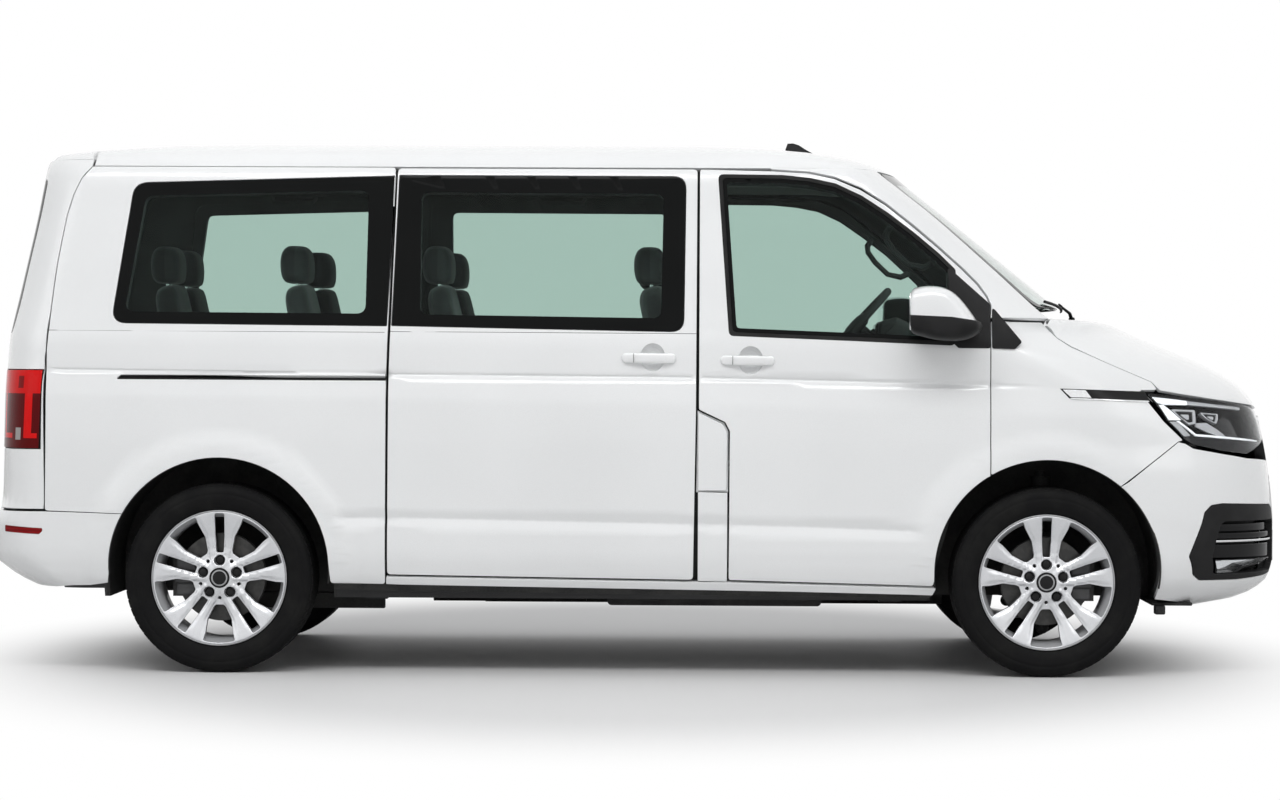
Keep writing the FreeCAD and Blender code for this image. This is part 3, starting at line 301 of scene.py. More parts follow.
def steady(xk, yk, x):
    """Cubic through the points that never overshoots them."""
    xk, yk, x = np.asarray(xk, float), np.asarray(yk, float), np.asarray(x, float)
    h = np.diff(xk)
    d = np.diff(yk) / h
    m = np.concatenate([[d[0]], np.zeros(len(d) - 1), [d[-1]]])
    for i in range(1, len(d)):
        if d[i - 1] * d[i] > 0:
            w1, w2 = 2 * h[i] + h[i - 1], h[i] + 2 * h[i - 1]
            m[i] = (w1 + w2) / (w1 / d[i - 1] + w2 / d[i])
    i = np.clip(np.searchsorted(xk, x) - 1, 0, len(h) - 1)
    t = np.clip((x - xk[i]) / h[i], 0, 1)
    return ((1 + 2 * t) * (1 - t) ** 2 * yk[i] + t * (1 - t) ** 2 * h[i] * m[i]
            + t * t * (3 - 2 * t) * yk[i + 1]
            + t * t * (t - 1) * h[i] * m[i + 1])


def blur(values, width):
    k = np.exp(-0.5 * (np.arange(-4 * width, 4 * width + 1) / width) ** 2)
    return np.convolve(np.pad(values, 4 * width, mode="edge"), k / k.sum(), mode="valid")


def dense(rows):
    rows = np.array(rows, float)
    run = np.concatenate([[0], np.cumsum(np.hypot(np.diff(rows[:, 0]), np.diff(rows[:, 1])))])
    return np.array([steady(run, col, np.linspace(0, run[-1], 5000)) for col in rows.T])


ALL_T, LOW_T, HIGH_T = dense(ROWS), dense(ROWS[:17] + [SHELF]), dense([UNDER] + ROWS[16:])
FINE_Z = np.arange(236.0, 1958.0, 1.0)
_low = FINE_Z < 1250
PLAIN_W = np.where(_low, np.interp(FINE_Z, *zip(*PROFILE)), np.interp(FINE_Z, ALL_T[0], ALL_T[1]))
PLAIN_W = np.where(FINE_Z < 1800, blur(PLAIN_W, 4), np.interp(FINE_Z, ALL_T[0], ALL_T[1]))
GROOVE_W = blur(np.interp(FINE_Z, [510, 539, 544, 574], [0, 10.0, 10.0, 0]), 1)
CREASE_W = blur(np.interp(FINE_Z, [1075, 1083, 1088, 1093], [0, 5.5, 5.5, 0]), 1)


ARCH_F, ARCH_R = (3000.0, 380.0, 408.0), (0.0, 382.0, 400.0)      # wheel arches: x, z, radius


def flare(x, z):
    """Outward swell of the body round each wheel arch."""
    out = 0.0
    for cx, cz, r in (ARCH_F, ARCH_R):
        k = np.clip((np.hypot(x - cx, z - cz) - r - 34.0) / 74.0, 0, 1)
        out = out + 13.0 * (1 + np.cos(np.pi * k)) / 2 * np.clip((z - 250.0) / 80.0, 0, 1)
    return out


def side_w(x, z):
    """Half width of the side at x, z with its shoulder step and lower groove."""
    zc, zb = np.interp(x, SHOULDER_X, SHOULDER_Z), np.interp(x, BAND_X, BAND_Z)
    zl = np.interp(x, SILL_X, SILL_Z)
    dc, db, dl = 1086 - zc, 992 - zb, 545 - zl

    def between(a, b, va, vb):
        k = np.clip((z - a) / (b - a), 0, 1)
        return va + (vb - va) * k
    d = np.where(z > zc, between(zc, 1230, dc, 0), np.where(
        z > zb, between(zb, zc, db, dc), np.where(z > zl + 40, between(zl + 40, zb, dl, db),
                                                  between(420, zl - 40, 0, dl))))
    g = np.clip((x - 395) / 70, 0, 1) * np.clip((2560 - x) / 60, 0, 1)
    c = np.clip((x + 700) / 60, 0, 1) * np.clip((2990 - x) / 260, 0, 1)
    return np.interp(z + d, FINE_Z, PLAIN_W) - g * g * (3 - 2 * g) * np.interp(z + d, FINE_Z, GROOVE_W) \
        - c * np.interp(z + d, FINE_Z, CREASE_W) + flare(x, z)


def half(t, z, kind):
    """x and y of the left half; t runs 0..5 from nose centre to tail centre."""
    t, z = np.broadcast_arrays(np.asarray(t, float), np.asarray(z, float))
    tab = LOW_T if kind == "low" else HIGH_T
    xf, yf, xb, xs = (np.interp(z, tab[0], tab[c]) for c in (2, 3, 4, 5))
    xr, yr, dr, xq = (np.interp(z, ALL_T[0], ALL_T[c]) for c in (6, 7, 8, 9))

    def bow(y_end, rise, s):
        rad = (y_end ** 2 + rise ** 2) / (2 * rise)
        th = np.arcsin(np.clip(y_end / rad, 0, 1))
        return rad * (1 - np.cos(th * s)), rad * np.sin(th * s), th

    def bend(p0, d0, p1, d1, s):
        ln = 1.08 * np.hypot(p1[0] - p0[0], p1[1] - p0[1])
        a, b, c, d = (1 + 2 * s) * (1 - s) ** 2, s * (1 - s) ** 2, s * s * (3 - 2 * s), s * s * (s - 1)
        return [a * p0[i] + b * ln * d0[i] + c * p1[i] + d * ln * d1[i] for i in (0, 1)]
    s = t - np.clip(np.floor(t), 0, 4)
    dx, dy, th = bow(yf, xf - xb, np.where(t < 1, s, 1.0))
    xs_w, xq_w = side_w(xs, z), side_w(xq, z)
    cx, cy = bend((xb, yf), (-np.sin(th), np.cos(th)), (xs, xs_w), (-1.0, 0.0), s)
    sx = xs + (xq - xs) * s
    rx, ry, rt = bow(yr, dr, np.where(t > 4, 1 - s, 1.0))
    qx, qy = bend((xq, xq_w), (-1.0, 0.0), (xr + dr, yr), (-np.sin(rt), -np.cos(rt)), s)
    x = np.select([t < 1, t < 2, t < 3, t < 4], [xf - dx, cx, sx, qx], xr + rx)
    y = np.select([t < 1, t < 2, t < 3, t < 4], [dy, cy, side_w(sx, z), qy], ry)
    return x, y


class Wrap:
    """The body seen as a belt: a runs round it (negative on the right side), b is the height."""

    def __init__(self, kind="high"):
        self.kind = kind

    def pt(self, a, b):
        t = np.abs(np.asarray(a, float))
        over = t > 5
        sign = np.where(np.asarray(a) < 0, -1.0, 1.0) * np.where(over, -1.0, 1.0)
        x, y = half(np.where(over, 10 - t, t), b, self.kind)
        return np.stack([x, y * sign, np.asarray(b, float) + 0 * x], -1)

    def normal(self, a, b):
        a, b = np.asarray(a, float), np.asarray(b, float)
        return unit(np.cross(self.pt(a + 2e-3, b) - self.pt(a - 2e-3, b),
                             self.pt(a, b + 0.6) - self.pt(a, b - 0.6)))

    def find(self, v, z, want):
        """Outline point given as x (side), or as y on the nose or the tail."""
        if want == "x":
            t = np.linspace(0, 5, 1201)
            x, _ = half(t, np.full_like(t, z), self.kind)
            return -float(np.interp(-v, -x, t))
        lo, hi = (0, 2) if want == "nose" else (3, 5)
        t = np.linspace(lo, hi, 801)
        _, y = half(t, np.full_like(t, z), self.kind)
        if want == "nose":
            return math.copysign(float(np.interp(abs(v), y, t)), v)
        k = float(np.interp(-abs(v), -y, t))
        return -k if v < 0 else k - 10.0


class Top:
    """The body from above: a is x, b is y; height from the same rows."""

    def __init__(self, kind, z0, x0, x1, grain=8.0):
        tab = LOW_T if kind == "low" else HIGH_T
        zs = tab[0][tab[0] >= z0][::6]
        self.x, self.y = np.arange(x0, x1, grain), np.arange(0.0, 960.0, grain)
        ts, rows = np.linspace(0, 5, 900), []
        for z in zs:
            x, y = half(ts, np.full_like(ts, z), kind)
            rows.append(np.interp(self.x, x[::-1], y[::-1], left=-30.0, right=-30.0))
        cols = [np.minimum.accumulate(col)[::-1] for col in np.array(rows).T]
        h = np.array([np.interp(self.y, col + np.arange(len(col)) * 1e-7, zs[::-1]) for col in cols])
        h = np.concatenate([h[:, :0:-1], h], axis=1)
        self.y = np.concatenate([-self.y[:0:-1], self.y])
        for axis in (0, 1):
            h = np.apply_along_axis(blur, axis, h, 2)
        self.h = h

    def z(self, x, y):
        i, j = (np.clip((np.asarray(v) - at[0]) / (at[1] - at[0]), 0, len(at) - 1.001)
                for v, at in ((x, self.x), (y, self.y)))
        i0, j0, h = i.astype(int), j.astype(int), self.h
        u, v = i - i0, j - j0
        return ((1 - u) * (1 - v) * h[i0, j0] + u * (1 - v) * h[i0 + 1, j0] + (1 - u) * v * h[i0, j0 + 1]
                + u * v * h[i0 + 1, j0 + 1])

    def pt(self, a, b):
        a, b = np.asarray(a, float), np.asarray(b, float)
        return np.stack([a, b, self.z(a, b)], -1)

    def normal(self, a, b):
        e = 9.0
        a, b = np.asarray(a, float), np.asarray(b, float)
        return unit(np.stack([-(self.z(a + e, b) - self.z(a - e, b)) / (2 * e),
                              -(self.z(a, b + e) - self.z(a, b - e)) / (2 * e), np.ones_like(a)], -1))


# ------------------------------------------------------------------ outlines
def area(loop):
    p = np.asarray(loop)
    q = np.roll(p, -1, axis=0)
    return 0.5 * float(np.sum(p[:, 0] * q[:, 1] - q[:, 0] * p[:, 1]))


def wound(loop, left=True):
    """The outline run anticlockwise, or clockwise."""
    return loop if (area(loop) > 0) == left else loop[::-1]


def soften(loop, r, steps=4):
    """Round every corner of an outline with a small curve; r may be a list, one for each corner."""
    n = len(loop)
    out = []
    for i in range(n):
        p, a, b = (np.array(loop[k % n], float) for k in (i, i - 1, i + 1))
        da, db = a - p, b - p
        la, lb = np.linalg.norm(da), np.linalg.norm(db)
        turn = math.acos(max(-1.0, min(1.0, float(da @ db) / (la * lb))))
        rr = r[i] if isinstance(r, (list, tuple)) else r
        if turn > 2.9 or rr < 0.5:
            out.append(tuple(p))
            continue
        cut = min(rr / math.tan(turn / 2), 0.45 * la, 0.45 * lb)
        s, e = p + da / la * cut, p + db / lb * cut
        for k in range(steps + 1):
            t = k / steps
            out.append(tuple((1 - t) ** 2 * s + 2 * t * (1 - t) * p + t * t * e))
    return out


def grow(loop, d):
    """Offset an outline outwards by d."""
    p = np.array(loop, float)
    if area(p) < 0:
        p = p[::-1]
    n1, n2 = (unit(np.stack([u[:, 1], -u[:, 0]], -1)) for u in (p - np.roll(p, 1, axis=0),
                                                                np.roll(p, -1, axis=0) - p))
    m = unit(n1 + n2)
    return [tuple(q) for q in p + m * (1.0 / np.maximum((m * n1).sum(1), 0.5) * d)[:, None]]


def fine(loop, step):
    out = []
    for i in range(len(loop)):
        a, b = np.array(loop[i]), np.array(loop[(i + 1) % len(loop)])
        n = max(1, int(math.ceil(np.linalg.norm(b - a) / step)))
        out += [tuple(a + (b - a) * k / n) for k in range(n)]
    return out


def arc(circle, a0, a1, n=36):
    """Points along a circle (x, z, radius) between two angles in degrees."""
    x, z, r = circle
    return [(x + r * math.cos(a), z + r * math.sin(a)) for a in (math.radians(a0 + (a1 - a0) * k / n)
                                                                 for k in range(n + 1))]


def inside(pts, loop):
    x, y = pts[:, 0], pts[:, 1]
    hit = np.zeros(len(pts), bool)
    p = np.asarray(loop)
    q = np.roll(p, -1, axis=0)
    for (x0, y0), (x1, y1) in zip(p, q):
        if y0 != y1:
            c = (y0 > y) != (y1 > y)
            hit ^= c & (x < (x1 - x0) * (y - y0) / (y1 - y0) + x0)
    return hit


# ------------------------------------------------------------------ mesh makers
def grid_faces(rows, cols, closed=True, side=1):
    """Quads between neighbouring rows of points; side -1 turns them over."""
    quads = [(i * cols + j, i * cols + (j + 1) % cols, (i + 1) * cols + (j + 1) % cols, (i + 1) * cols + j)
             for i in range(rows - 1) for j in range(cols if closed else cols - 1)]
    return quads if side > 0 else [(a, d, c, b) for a, b, c, d in quads]


def caps(rows, cols):
    return [tuple(range(cols))[::-1], tuple((rows - 1) * cols + j for j in range(cols))]


class Form:
    """Collects points and faces of one visual piece."""

    def __init__(self, v=(), f=(), m=(), n=()):
        self.v, self.f, self.m, self.n = list(v), list(f), list(m), list(n)

    def add(self, pts, faces, mat=0, normals=None):
        pts = np.asarray(pts, float).reshape(-1, 3)
        k = sum(map(len, self.v))
        self.v.append(pts)
        self.n.append(np.full(pts.shape, np.nan) if normals is None
                      else np.asarray(normals, float).reshape(-1, 3))
        self.f += [tuple(int(i) + k for i in f) for f in faces]
        self.m += [mat] * len(faces) if np.isscalar(mat) else list(mat)
        return self

    def ring(self, loop_a, loop_b, mat=0, na=None, nb=None):
        """Wall between two closed loops of the same length."""
        return self.add(np.concatenate([loop_a, loop_b]), grid_faces(2, len(loop_a)), mat,
                        None if na is None else np.concatenate([na, nb]))

    def block(self, lo, hi, r=3.0, seg=2, mat=0, spin=(0, 0, 0)):
        """A block with rounded edges, turned by spin (degrees about x, y, z) around its middle."""
        bm = bmesh.new()
        bmesh.ops.create_cube(bm, size=1.0)
        size = Vector([abs(h - l) for l, h in zip(lo, hi)])
        mid = Vector([(h + l) / 2 for l, h in zip(lo, hi)])
        bmesh.ops.scale(bm, vec=size, verts=bm.verts)
        bmesh.ops.bevel(bm, geom=bm.edges[:] + bm.verts[:], offset=min(r, 0.49 * min(size)), segments=seg,
                        affect="EDGES", profile=0.5)
        if any(spin):
            turn = [Matrix.Rotation(math.radians(a), 3, k) for a, k in zip(spin, "XYZ")]
            bmesh.ops.transform(bm, matrix=(turn[2] @ turn[1] @ turn[0]).to_4x4(), verts=bm.verts)
        bm.verts.index_update()
        self.add([tuple(v.co + mid) for v in bm.verts], [[v.index for v in f.verts] for f in bm.faces], mat)
        bm.free()
        return self

    def lathe(self, prof, centre=(0, 0, 0), axis="y", n=64, mat=0):
        """Turn (radius, along) points round an axis."""
        ang = np.radians(360.0 * np.arange(n) / n)
        pts = []
        for r, h in prof:
            c, s = r * np.cos(ang), r * np.sin(ang)
            hh = np.full_like(c, h)
            pts.append(np.stack({"y": (c, hh, s), "x": (hh, c, s), "z": (c, s, hh)}[axis], -1))
        faces = grid_faces(len(prof), n)
        return self.add(np.concatenate(pts) + np.array(centre, float),
                        [q[::-1] for q in faces] if axis == "y" else faces, mat)

    def tube(self, path, r, n=10, mat=0, flat=1.0):
        """A closed round bar along a path; r may be one for each point."""
        p = np.asarray(path, float)
        rr = np.full(len(p), r) if np.isscalar(r) else np.asarray(r, float)
        t = unit(np.gradient(p, axis=0))
        u = np.cross([0.0, 0.0, 1.0] if abs(t[0][2]) < 0.9 else [0.0, 1.0, 0.0], t[0])
        u /= np.linalg.norm(u)
        pts, ang = [], 2 * np.pi * np.arange(n) / n
        for i in range(len(p)):
            u = u - t[i] * (u @ t[i])
            u /= np.linalg.norm(u)
            w = np.cross(t[i], u)
            pts.append(p[i] + rr[i] * (np.cos(ang)[:, None] * u + np.sin(ang)[:, None] * w * flat))
        return self.add(np.concatenate(pts), grid_faces(len(p), n) + caps(len(p), n), mat)

    def mesh(self, name, mats, crease, weld):
        v = np.concatenate(self.v)
        v[:, 0] += SHIFT_X
        me = bpy.data.meshes.new(name)
        me.from_pydata((v / 1000.0).tolist(), [], self.f)
        for m in mats:
            me.materials.append(m)
        me.polygons.foreach_set("material_index", np.array(self.m, dtype=np.int32))
        me.polygons.foreach_set("use_smooth", np.ones(len(self.f), dtype=bool))
        given = np.concatenate(self.n)
        if weld:
            bm = bmesh.new()
            bm.from_mesh(me)
            bmesh.ops.remove_doubles(bm, verts=bm.verts, dist=0.00002)
            bmesh.ops.recalc_face_normals(bm, faces=bm.faces)
            bm.to_mesh(me)
            bm.free()
        me.update()
        if weld or np.isnan(given).any():
            me.set_sharp_from_angle(angle=math.radians(crease))
        else:
            me.normals_split_custom_set_from_vertices(given.tolist())
        ob = bpy.data.objects.new(name, me)
        bpy.context.scene.collection.objects.link(ob)
        return ob


def triangles(loops, extra, solid):
    """Triangles over the region inside loops[0] and outside the rest; extra points lie inside."""
    pts, edges = [], []
    for loop in loops:
        k, n = len(pts), len(loop)
        pts += list(loop)
        edges += [(k + i, k + (i + 1) % n) for i in range(n)]
    p = np.array(pts + list(extra))
    scale = 1000.0 / np.ptp(p, axis=0).max()
    v, _, faces, ids, _, _ = delaunay_2d_cdt([Vector((q[0] * scale, q[1] * scale)) for q in p], edges, [],
                                             0, 1e-5)
    back = [i[0] if len(i) else -1 for i in ids]
    tri = np.array([[back[i] for i in f] for f in faces if all(back[i] >= 0 for i in f)])
    mid = p[tri].mean(1)
    keep = inside(mid, loops[0])
    for loop, hole in zip(loops[1:], solid):
        if hole:
            keep &= ~inside(mid, loop)
    tri, mid = tri[keep], mid[keep]
    a, b, c = p[tri[:, 0]], p[tri[:, 1]], p[tri[:, 2]]
    turn = (b[:, 0] - a[:, 0]) * (c[:, 1] - a[:, 1]) - (b[:, 1] - a[:, 1]) * (c[:, 0] - a[:, 0])
    tri[turn < 0] = tri[turn < 0][:, ::-1]
    return p, tri[np.abs(turn) > 1e-9], mid[np.abs(turn) > 1e-9]


def chart_points(chart, loop, step, lines=()):
    """Rows of points inside the outline; on the belt, with extra rows along the body's lines."""
    p = np.array(loop)
    (a0, b0), (a1, b1) = p.min(0), p.max(0)
    if isinstance(chart, Wrap):
        clear = [(xk, np.array(zk) + min(offs) - 7, np.array(zk) + max(offs) + 7) for xk, zk, offs in lines]
        zs = [(z, None) for z in np.arange(b0, b1, step[1])]
        zs += [(zk[0] + d, (xk, np.array(zk) + d)) for xk, zk, offs in lines for d in offs]
        out = []
        for k, (z, path) in enumerate(zs):
            aa = np.linspace(a0, a1, 700)
            q = chart.pt(aa, np.full_like(aa, z))
            run = travel(q[:, :2])
            m = max(2, int(run[-1] / step[0]))
            s = np.interp((np.arange(m) + (0.5 if k % 2 else 0.0)) * run[-1] / m, run, aa)
            xx = np.interp(s, aa, q[:, 0])
            if path is None:
                free = [(z < np.interp(xx, xk, lo)) | (z > np.interp(xx, xk, hi)) for xk, lo, hi in clear]
                s = s[np.all(free or [xx == xx], axis=0)]
            out += list(zip(s, np.full(len(s), z) if path is None else np.interp(xx, *path)))
        pts = np.array(out)
    else:
        aa, bb = np.arange(a0, a1, step[0]), np.arange(b0, b1, step[1])
        pts = np.array([(a + (step[0] / 2 if j % 2 else 0), b) for j, b in enumerate(bb) for a in aa])
    return pts[inside(pts, loop)]


BELT_MM = 600.0          # about one unit along the belt, mm
NO_INNER = 900.0         # an edge distance that leaves a narrow piece without inner points, mm
RIM_DEPTH = 14.0         # how deep the outer finish goes on a cut edge, mm
ROUND = 0.2929           # 1 - cos 45: the middle of a rounded edge


def panel(form, chart, outline, holes=(), depth=40.0, turn=1.9, lift=0.0, step=(46, 26), mats=(0, 0),
          split=None, lines=(), edge=14.0, rim=None):
    """A sheet piece of the body: outer face, rounded turned-in edges, walls and inner face.

    outline and holes are in chart coordinates; split is a loop inside which the face takes mats[2];
    edge is how far the inner points keep off every outline."""
    loops = [wound(list(l), i == 0) for i, l in enumerate([outline, *holes])]
    seams = [list(split)] if split is not None else []
    extra = chart_points(chart, loops[0], step, lines)
    if len(extra):
        e3, ok = chart.pt(*extra.T), np.ones(len(extra), bool)
        for l in loops + seams:
            l3 = chart.pt(*np.array(l).T)
            for p, q in zip(l3, np.roll(l3, -1, axis=0)):
                d = q - p
                t = np.clip(((e3 - p) @ d) / max(float(d @ d), 1e-9), 0, 1)
                ok &= np.linalg.norm(e3 - (p + t[:, None] * d), axis=1) > edge
        for l in loops[1:]:
            ok &= ~inside(extra, l)
        extra = extra[ok]
    scale = np.array([BELT_MM if isinstance(chart, Wrap) else 1.0, 1.0])
    flat = [[tuple(np.array(q) * scale) for q in l] for l in loops + seams]
    p, tri, mid = triangles(flat, [tuple(np.array(q) * scale) for q in extra],
                            [True] * (len(loops) - 1) + [False] * len(seams))
    p = p / scale
    pts, nrm = chart.pt(*p.T), chart.normal(*p.T)
    top, low = pts - nrm * lift, pts - nrm * (lift + depth)
    marks = np.zeros(len(tri), int) + mats[0]
    if seams:
        marks[inside(mid, flat[-1])] = mats[2]
    rings, k = [], 0
    for l in loops:
        idx = np.arange(k, k + len(l))
        k += len(l)
        q, nn = pts[idx], nrm[idx]
        e1, e2 = unit(q - np.roll(q, 1, axis=0)), unit(np.roll(q, -1, axis=0) - q)
        b = unit(np.cross(nn, e1 + e2))
        b *= (1.0 / np.maximum((b * np.cross(nn, e1)).sum(1, keepdims=True), 0.6))
        rings.append((idx, q, nn, b))
        top[idx] = q + b * turn - nn * lift
    form.add(top, tri, marks, nrm)
    form.add(low, tri[:, ::-1], mats[1], -nrm)
    rim = mats[0] if rim is None else rim
    for idx, q, nn, b in rings:
        c, wall = ROUND * turn, b / np.linalg.norm(b, axis=1, keepdims=True)
        t0, t1, t2 = q + b * turn - nn * lift, q + b * c - nn * (lift + c), q - nn * (lift + turn)
        nm = (nn - wall) / math.sqrt(2.0)
        form.ring(t1, t0, rim, nm, nn)
        form.ring(t2, t1, rim, -wall, nm)
        t3 = q - nn * (lift + min(depth, RIM_DEPTH))
        form.ring(t3, t2, rim, -wall, -wall)
        if depth > RIM_DEPTH:
            form.ring(low[idx], t3, mats[1], -wall, -wall)
    return form


def on_side(xz, kind="high", step=22.0):
    return [(Wrap(kind).find(x, z, "x"), z) for x, z in fine(xz, step)]


def on_end(yz, end, step=22.0):
    return [(AW.find(y if abs(y) > 1e-6 else 1e-6, z, end), z) for y, z in fine(yz, step)]


def on_tail(yz):
    return on_end(yz, "tail")


def nose_pt(y, z):
    return (LW.find(y + (1e-6 if y >= 0 else -1e-6), z, "nose"), z)


def side_pt(x, z):
    return (LW.find(x, z, "x"), z)


def spread(loop, step_a=0.04, step_b=22.0):
    """Split the long edges of a loop in belt coordinates."""
    out = []
    for (a0, b0), (a1, b1) in zip(loop, loop[1:] + loop[:1]):
        n = max(1, int(max(abs(a1 - a0) / step_a, abs(b1 - b0) / step_b)))
        out += [(a0 + (a1 - a0) * k / n, b0 + (b1 - b0) * k / n) for k in range(n)]
    return out


def moved(form, at=(0, 0, 0), scale=(1.0, 1.0, 1.0)):
    """A copy of the form, mirrored or turned half round by a scale of ones, then carried to at."""
    k = np.array(scale)
    faces = [f[::-1] for f in form.f] if np.prod(k) < 0 else form.f
    return Form([v * k + np.array(at, float) for v in form.v], faces, form.m, [n * k for n in form.n])


def mirrored(form):
    return moved(form, scale=(1.0, -1.0, 1.0))


def place(form, name, finish, body="body", nodes="", slot=None, crease=35.0, weld=False):
    """Make the piece; finish and nodes are names with spaces between."""
    ob = form.mesh(name, [FIN[k] for k in finish.split()], crease, weld)
    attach(ob, body)
    if nodes:
        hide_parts(*nodes.split())
    return ob


def pair(form, name, finish, body="body", nodes="", *rest, **kw):
    """A piece of the right side and its mirror image; {} stands for the side, other nodes go to the right."""
    for side, f in (("right", form), ("left", mirrored(form))):
        mine = nodes.format(side) if side == "right" or "{}" in nodes else ""
        place(f, name + "_" + side, finish, body.format(side), mine, *rest, **kw)


AW, LW = Wrap("high"), Wrap("low")


# -------------------------------------------------------------- outlines of the body pieces (side view x, z)
ROOF_LINE, DOOR_EDGE = 1842.0, 2794.0
SLIDE = [(608, 357), (611, 1090), (634, ROOF_LINE), (1733, ROOF_LINE), (1731, 960), (1723, 343)]
REAR_EDGE = [(-482, ROOF_LINE), (-519, 1795), (-545, 1740), (-569, 1659), (-584, 1571), (-598, 1484),
             (-608, 1397), (-616, 1310), (-628, 1170)]
DOOR_TOP = [(2000, 1836), (2136, 1828), (2229, 1808), (2323, 1768), (2415, 1712), (2509, 1638),
            (2600, 1561), (2691, 1479), (2747, 1423), (2780, 1377), (DOOR_EDGE, 1345)]
WIN_REAR = soften([(-398, 1267), (606, 1260), (628, 1811), (-326, 1782)], [50, 6, 6, 60], 7)
CLR_REAR = soften([(-350, 1310), (527, 1306), (532, 1757), (-282, 1733)], 34, 6)
WIN_SLIDE = soften([(622, 1261), (1684, 1243), (1690, 1813), (642, 1814)], [6, 50, 50, 6], 7)
CLR_SLIDE = soften([(726, 1304), (1600, 1294), (1607, 1747), (725, 1750)], 30, 6)
WIN_DOOR = [(1858, 1243), (2316, 1226), (2652, 1212), (2655, 1470), (2600, 1524), (2509, 1601), (2415, 1672),
            (2323, 1732), (2229, 1776), (2136, 1796), (2038, 1806), (1818, 1808)]


def side_outline(left):
    """The fixed side panel: the rear quarter; on the left it also fills the sliding door's place."""
    low = [(-352, 577), *arc(ARCH_R, 151.0, 2.0), (406, 327)]
    if left:
        low += [(657, 322), (1722, 306), (1727, 342), (1724, 344), (1733, ROOF_LINE), (634, ROOF_LINE),
                (100, ROOF_LINE)]
    else:
        low += [(603, 324), (605, 1090), (628, ROOF_LINE)]
    return low + [*REAR_EDGE, (-631, 586)]


ZLINES = [(SHOULDER_X, SHOULDER_Z, (-9, -6, -4.2, -2.4, -0.6, 1.2, 3, 5, 8)),
          (BAND_X, BAND_Z, (-16, -6, 2, 10, 20)), (SILL_X, SILL_Z, (-34, -16, -8, -5, -2, 0.6, 3, 6, 12))]


def body_panel(outline, holes=(), kind="high", **kw):
    chart, holes = Wrap(kind), [on_side(h, kind) for h in holes]
    return panel(Form(), chart, on_side(outline, kind), holes, lines=ZLINES, mats=(0, 1), **kw)


RAIL = soften([(-376, 1064), (603, 1063), (603, 1081), (-358, 1080)], 4)
CUP_SLIDE, CUP_DOOR = [[(x + 44 * math.cos(t), z + 50 * math.sin(t))
                        for t in np.linspace(0, 2 * math.pi, 41)[:-1]]
                       for x, z in ((1571.0, 1152.0), (1925.0, 1143.0))]
place(body_panel(soften(side_outline(False), 12), [WIN_REAR, RAIL], depth=50.0), "rear_quarter_right", TRIM,
      nodes="side_right", slot="white")
place(mirrored(body_panel(soften(side_outline(True), 12), [WIN_REAR, WIN_SLIDE], depth=50.0)),
      "side_panel_left", TRIM, nodes="side_left", slot="white")
place(body_panel(soften(grow(SLIDE, -3.0), 14), [WIN_SLIDE, CUP_SLIDE], depth=50.0), "sliding_door_panel",
      TRIM, nodes="sliding_door", slot="white")

# sill under the doors, and the post the front door shuts on
SILL = [(657, 322), (2108, 303), (2588, 293), (2600, 318), (2587, 319), (1846, 337), (1723, 337),
        (608, 351), (606, 324)]


def front_door_outline(right):
    head = [(1739, ROOF_LINE - 3)] + [(x - 1.5, z - 3) for x, z in DOOR_TOP]
    well = [p for p in arc(ARCH_F, 182, 118, 30) if p[0] < 2790]
    rear = [(1739, 964), (1834, 919), (1851, 886), (1849, 346)] if right else [(1730, 348)]
    return [*rear, (2587, 328), (2592, 345), *well, (2791, well[-1][1] + 3), (2791, 1345), *head[::-1][1:]]


for side in ("right", "left"):
    f = body_panel(soften(front_door_outline(side == "right"), 9), [soften(WIN_DOOR, 14), CUP_DOOR],
                   depth=50.0)
    place(f if side == "right" else mirrored(f), "front_door_panel_" + side, TRIM, "door_" + side,
          "front_door_" + side, "white")
pair(body_panel(soften(SILL, 4), depth=46.0), "sill", TRIM)
f = body_panel([(1737, 342), (1843, 340), (1843, 663), (1737, 665)], depth=46.0)
panel(f, AW, on_side([(1730, 664), (1846, 664), (1846, 884), (1831, 916), (1734, 960)]), depth=20.0,
      lift=16.0, mats=(0, 1))
place(f, "door_post_right", TRIM)
flap = body_panel(soften(grow([(1734, 668), (1843, 668), (1844, 884), (1828, 913), (1734, 958)], -3.0), 7),
                  depth=8.0)
place(flap, "fuel_flap_lid", "paint paint paint", "fuel_lid", "fuel_flap", "white")

# fenders
FENDER = arc(ARCH_F, 120.3, 50.3, 26) + [
    (3474, 856), (3492, 860), (3420, 928), (3366, 995), (3335, 1037), (3342, 1042), (3402, 1043),
    (3379, 1071), (3222, 1137), (3087, 1197), (3040, 1228), (2985, 1284), (2794, 1288)]
pair(body_panel(soften(FENDER, 6), kind="low", depth=44.0), "fender", TRIM, nodes="fender_{}", slot="white")

# ------------------------------------------------------------------ tail, bumpers, hood and roof
TAIL_TOP = 1868.0
TAIL_MID = -5.0          # the middle of the tail on the belt


def gate_outline():
    """Tailgate in belt coordinates, over the tail from one side to the other."""
    right = [(-635.5, 592), (-634.5, 1099)] + [(x - 3.5, z) for x, z in REAR_EDGE[::-1]] + [(-481.5,
                                                                                             TAIL_TOP)]
    return over_tail([side_high(x, z) for x, z in right])


def side_high(x, z):
    return (AW.find(x, z, "x"), z)


def over_tail(loop):
    """Add the mirror image of the right half of a loop."""
    return loop + [(2 * TAIL_MID - a, z) for a, z in loop[::-1]]


BACKLIGHT = [(-812, 1228), (812, 1228), (735, 1800), (-735, 1800)]
BACKLIGHT_CLR = [(-740, 1290), (740, 1290), (668, 1752), (-668, 1752)]


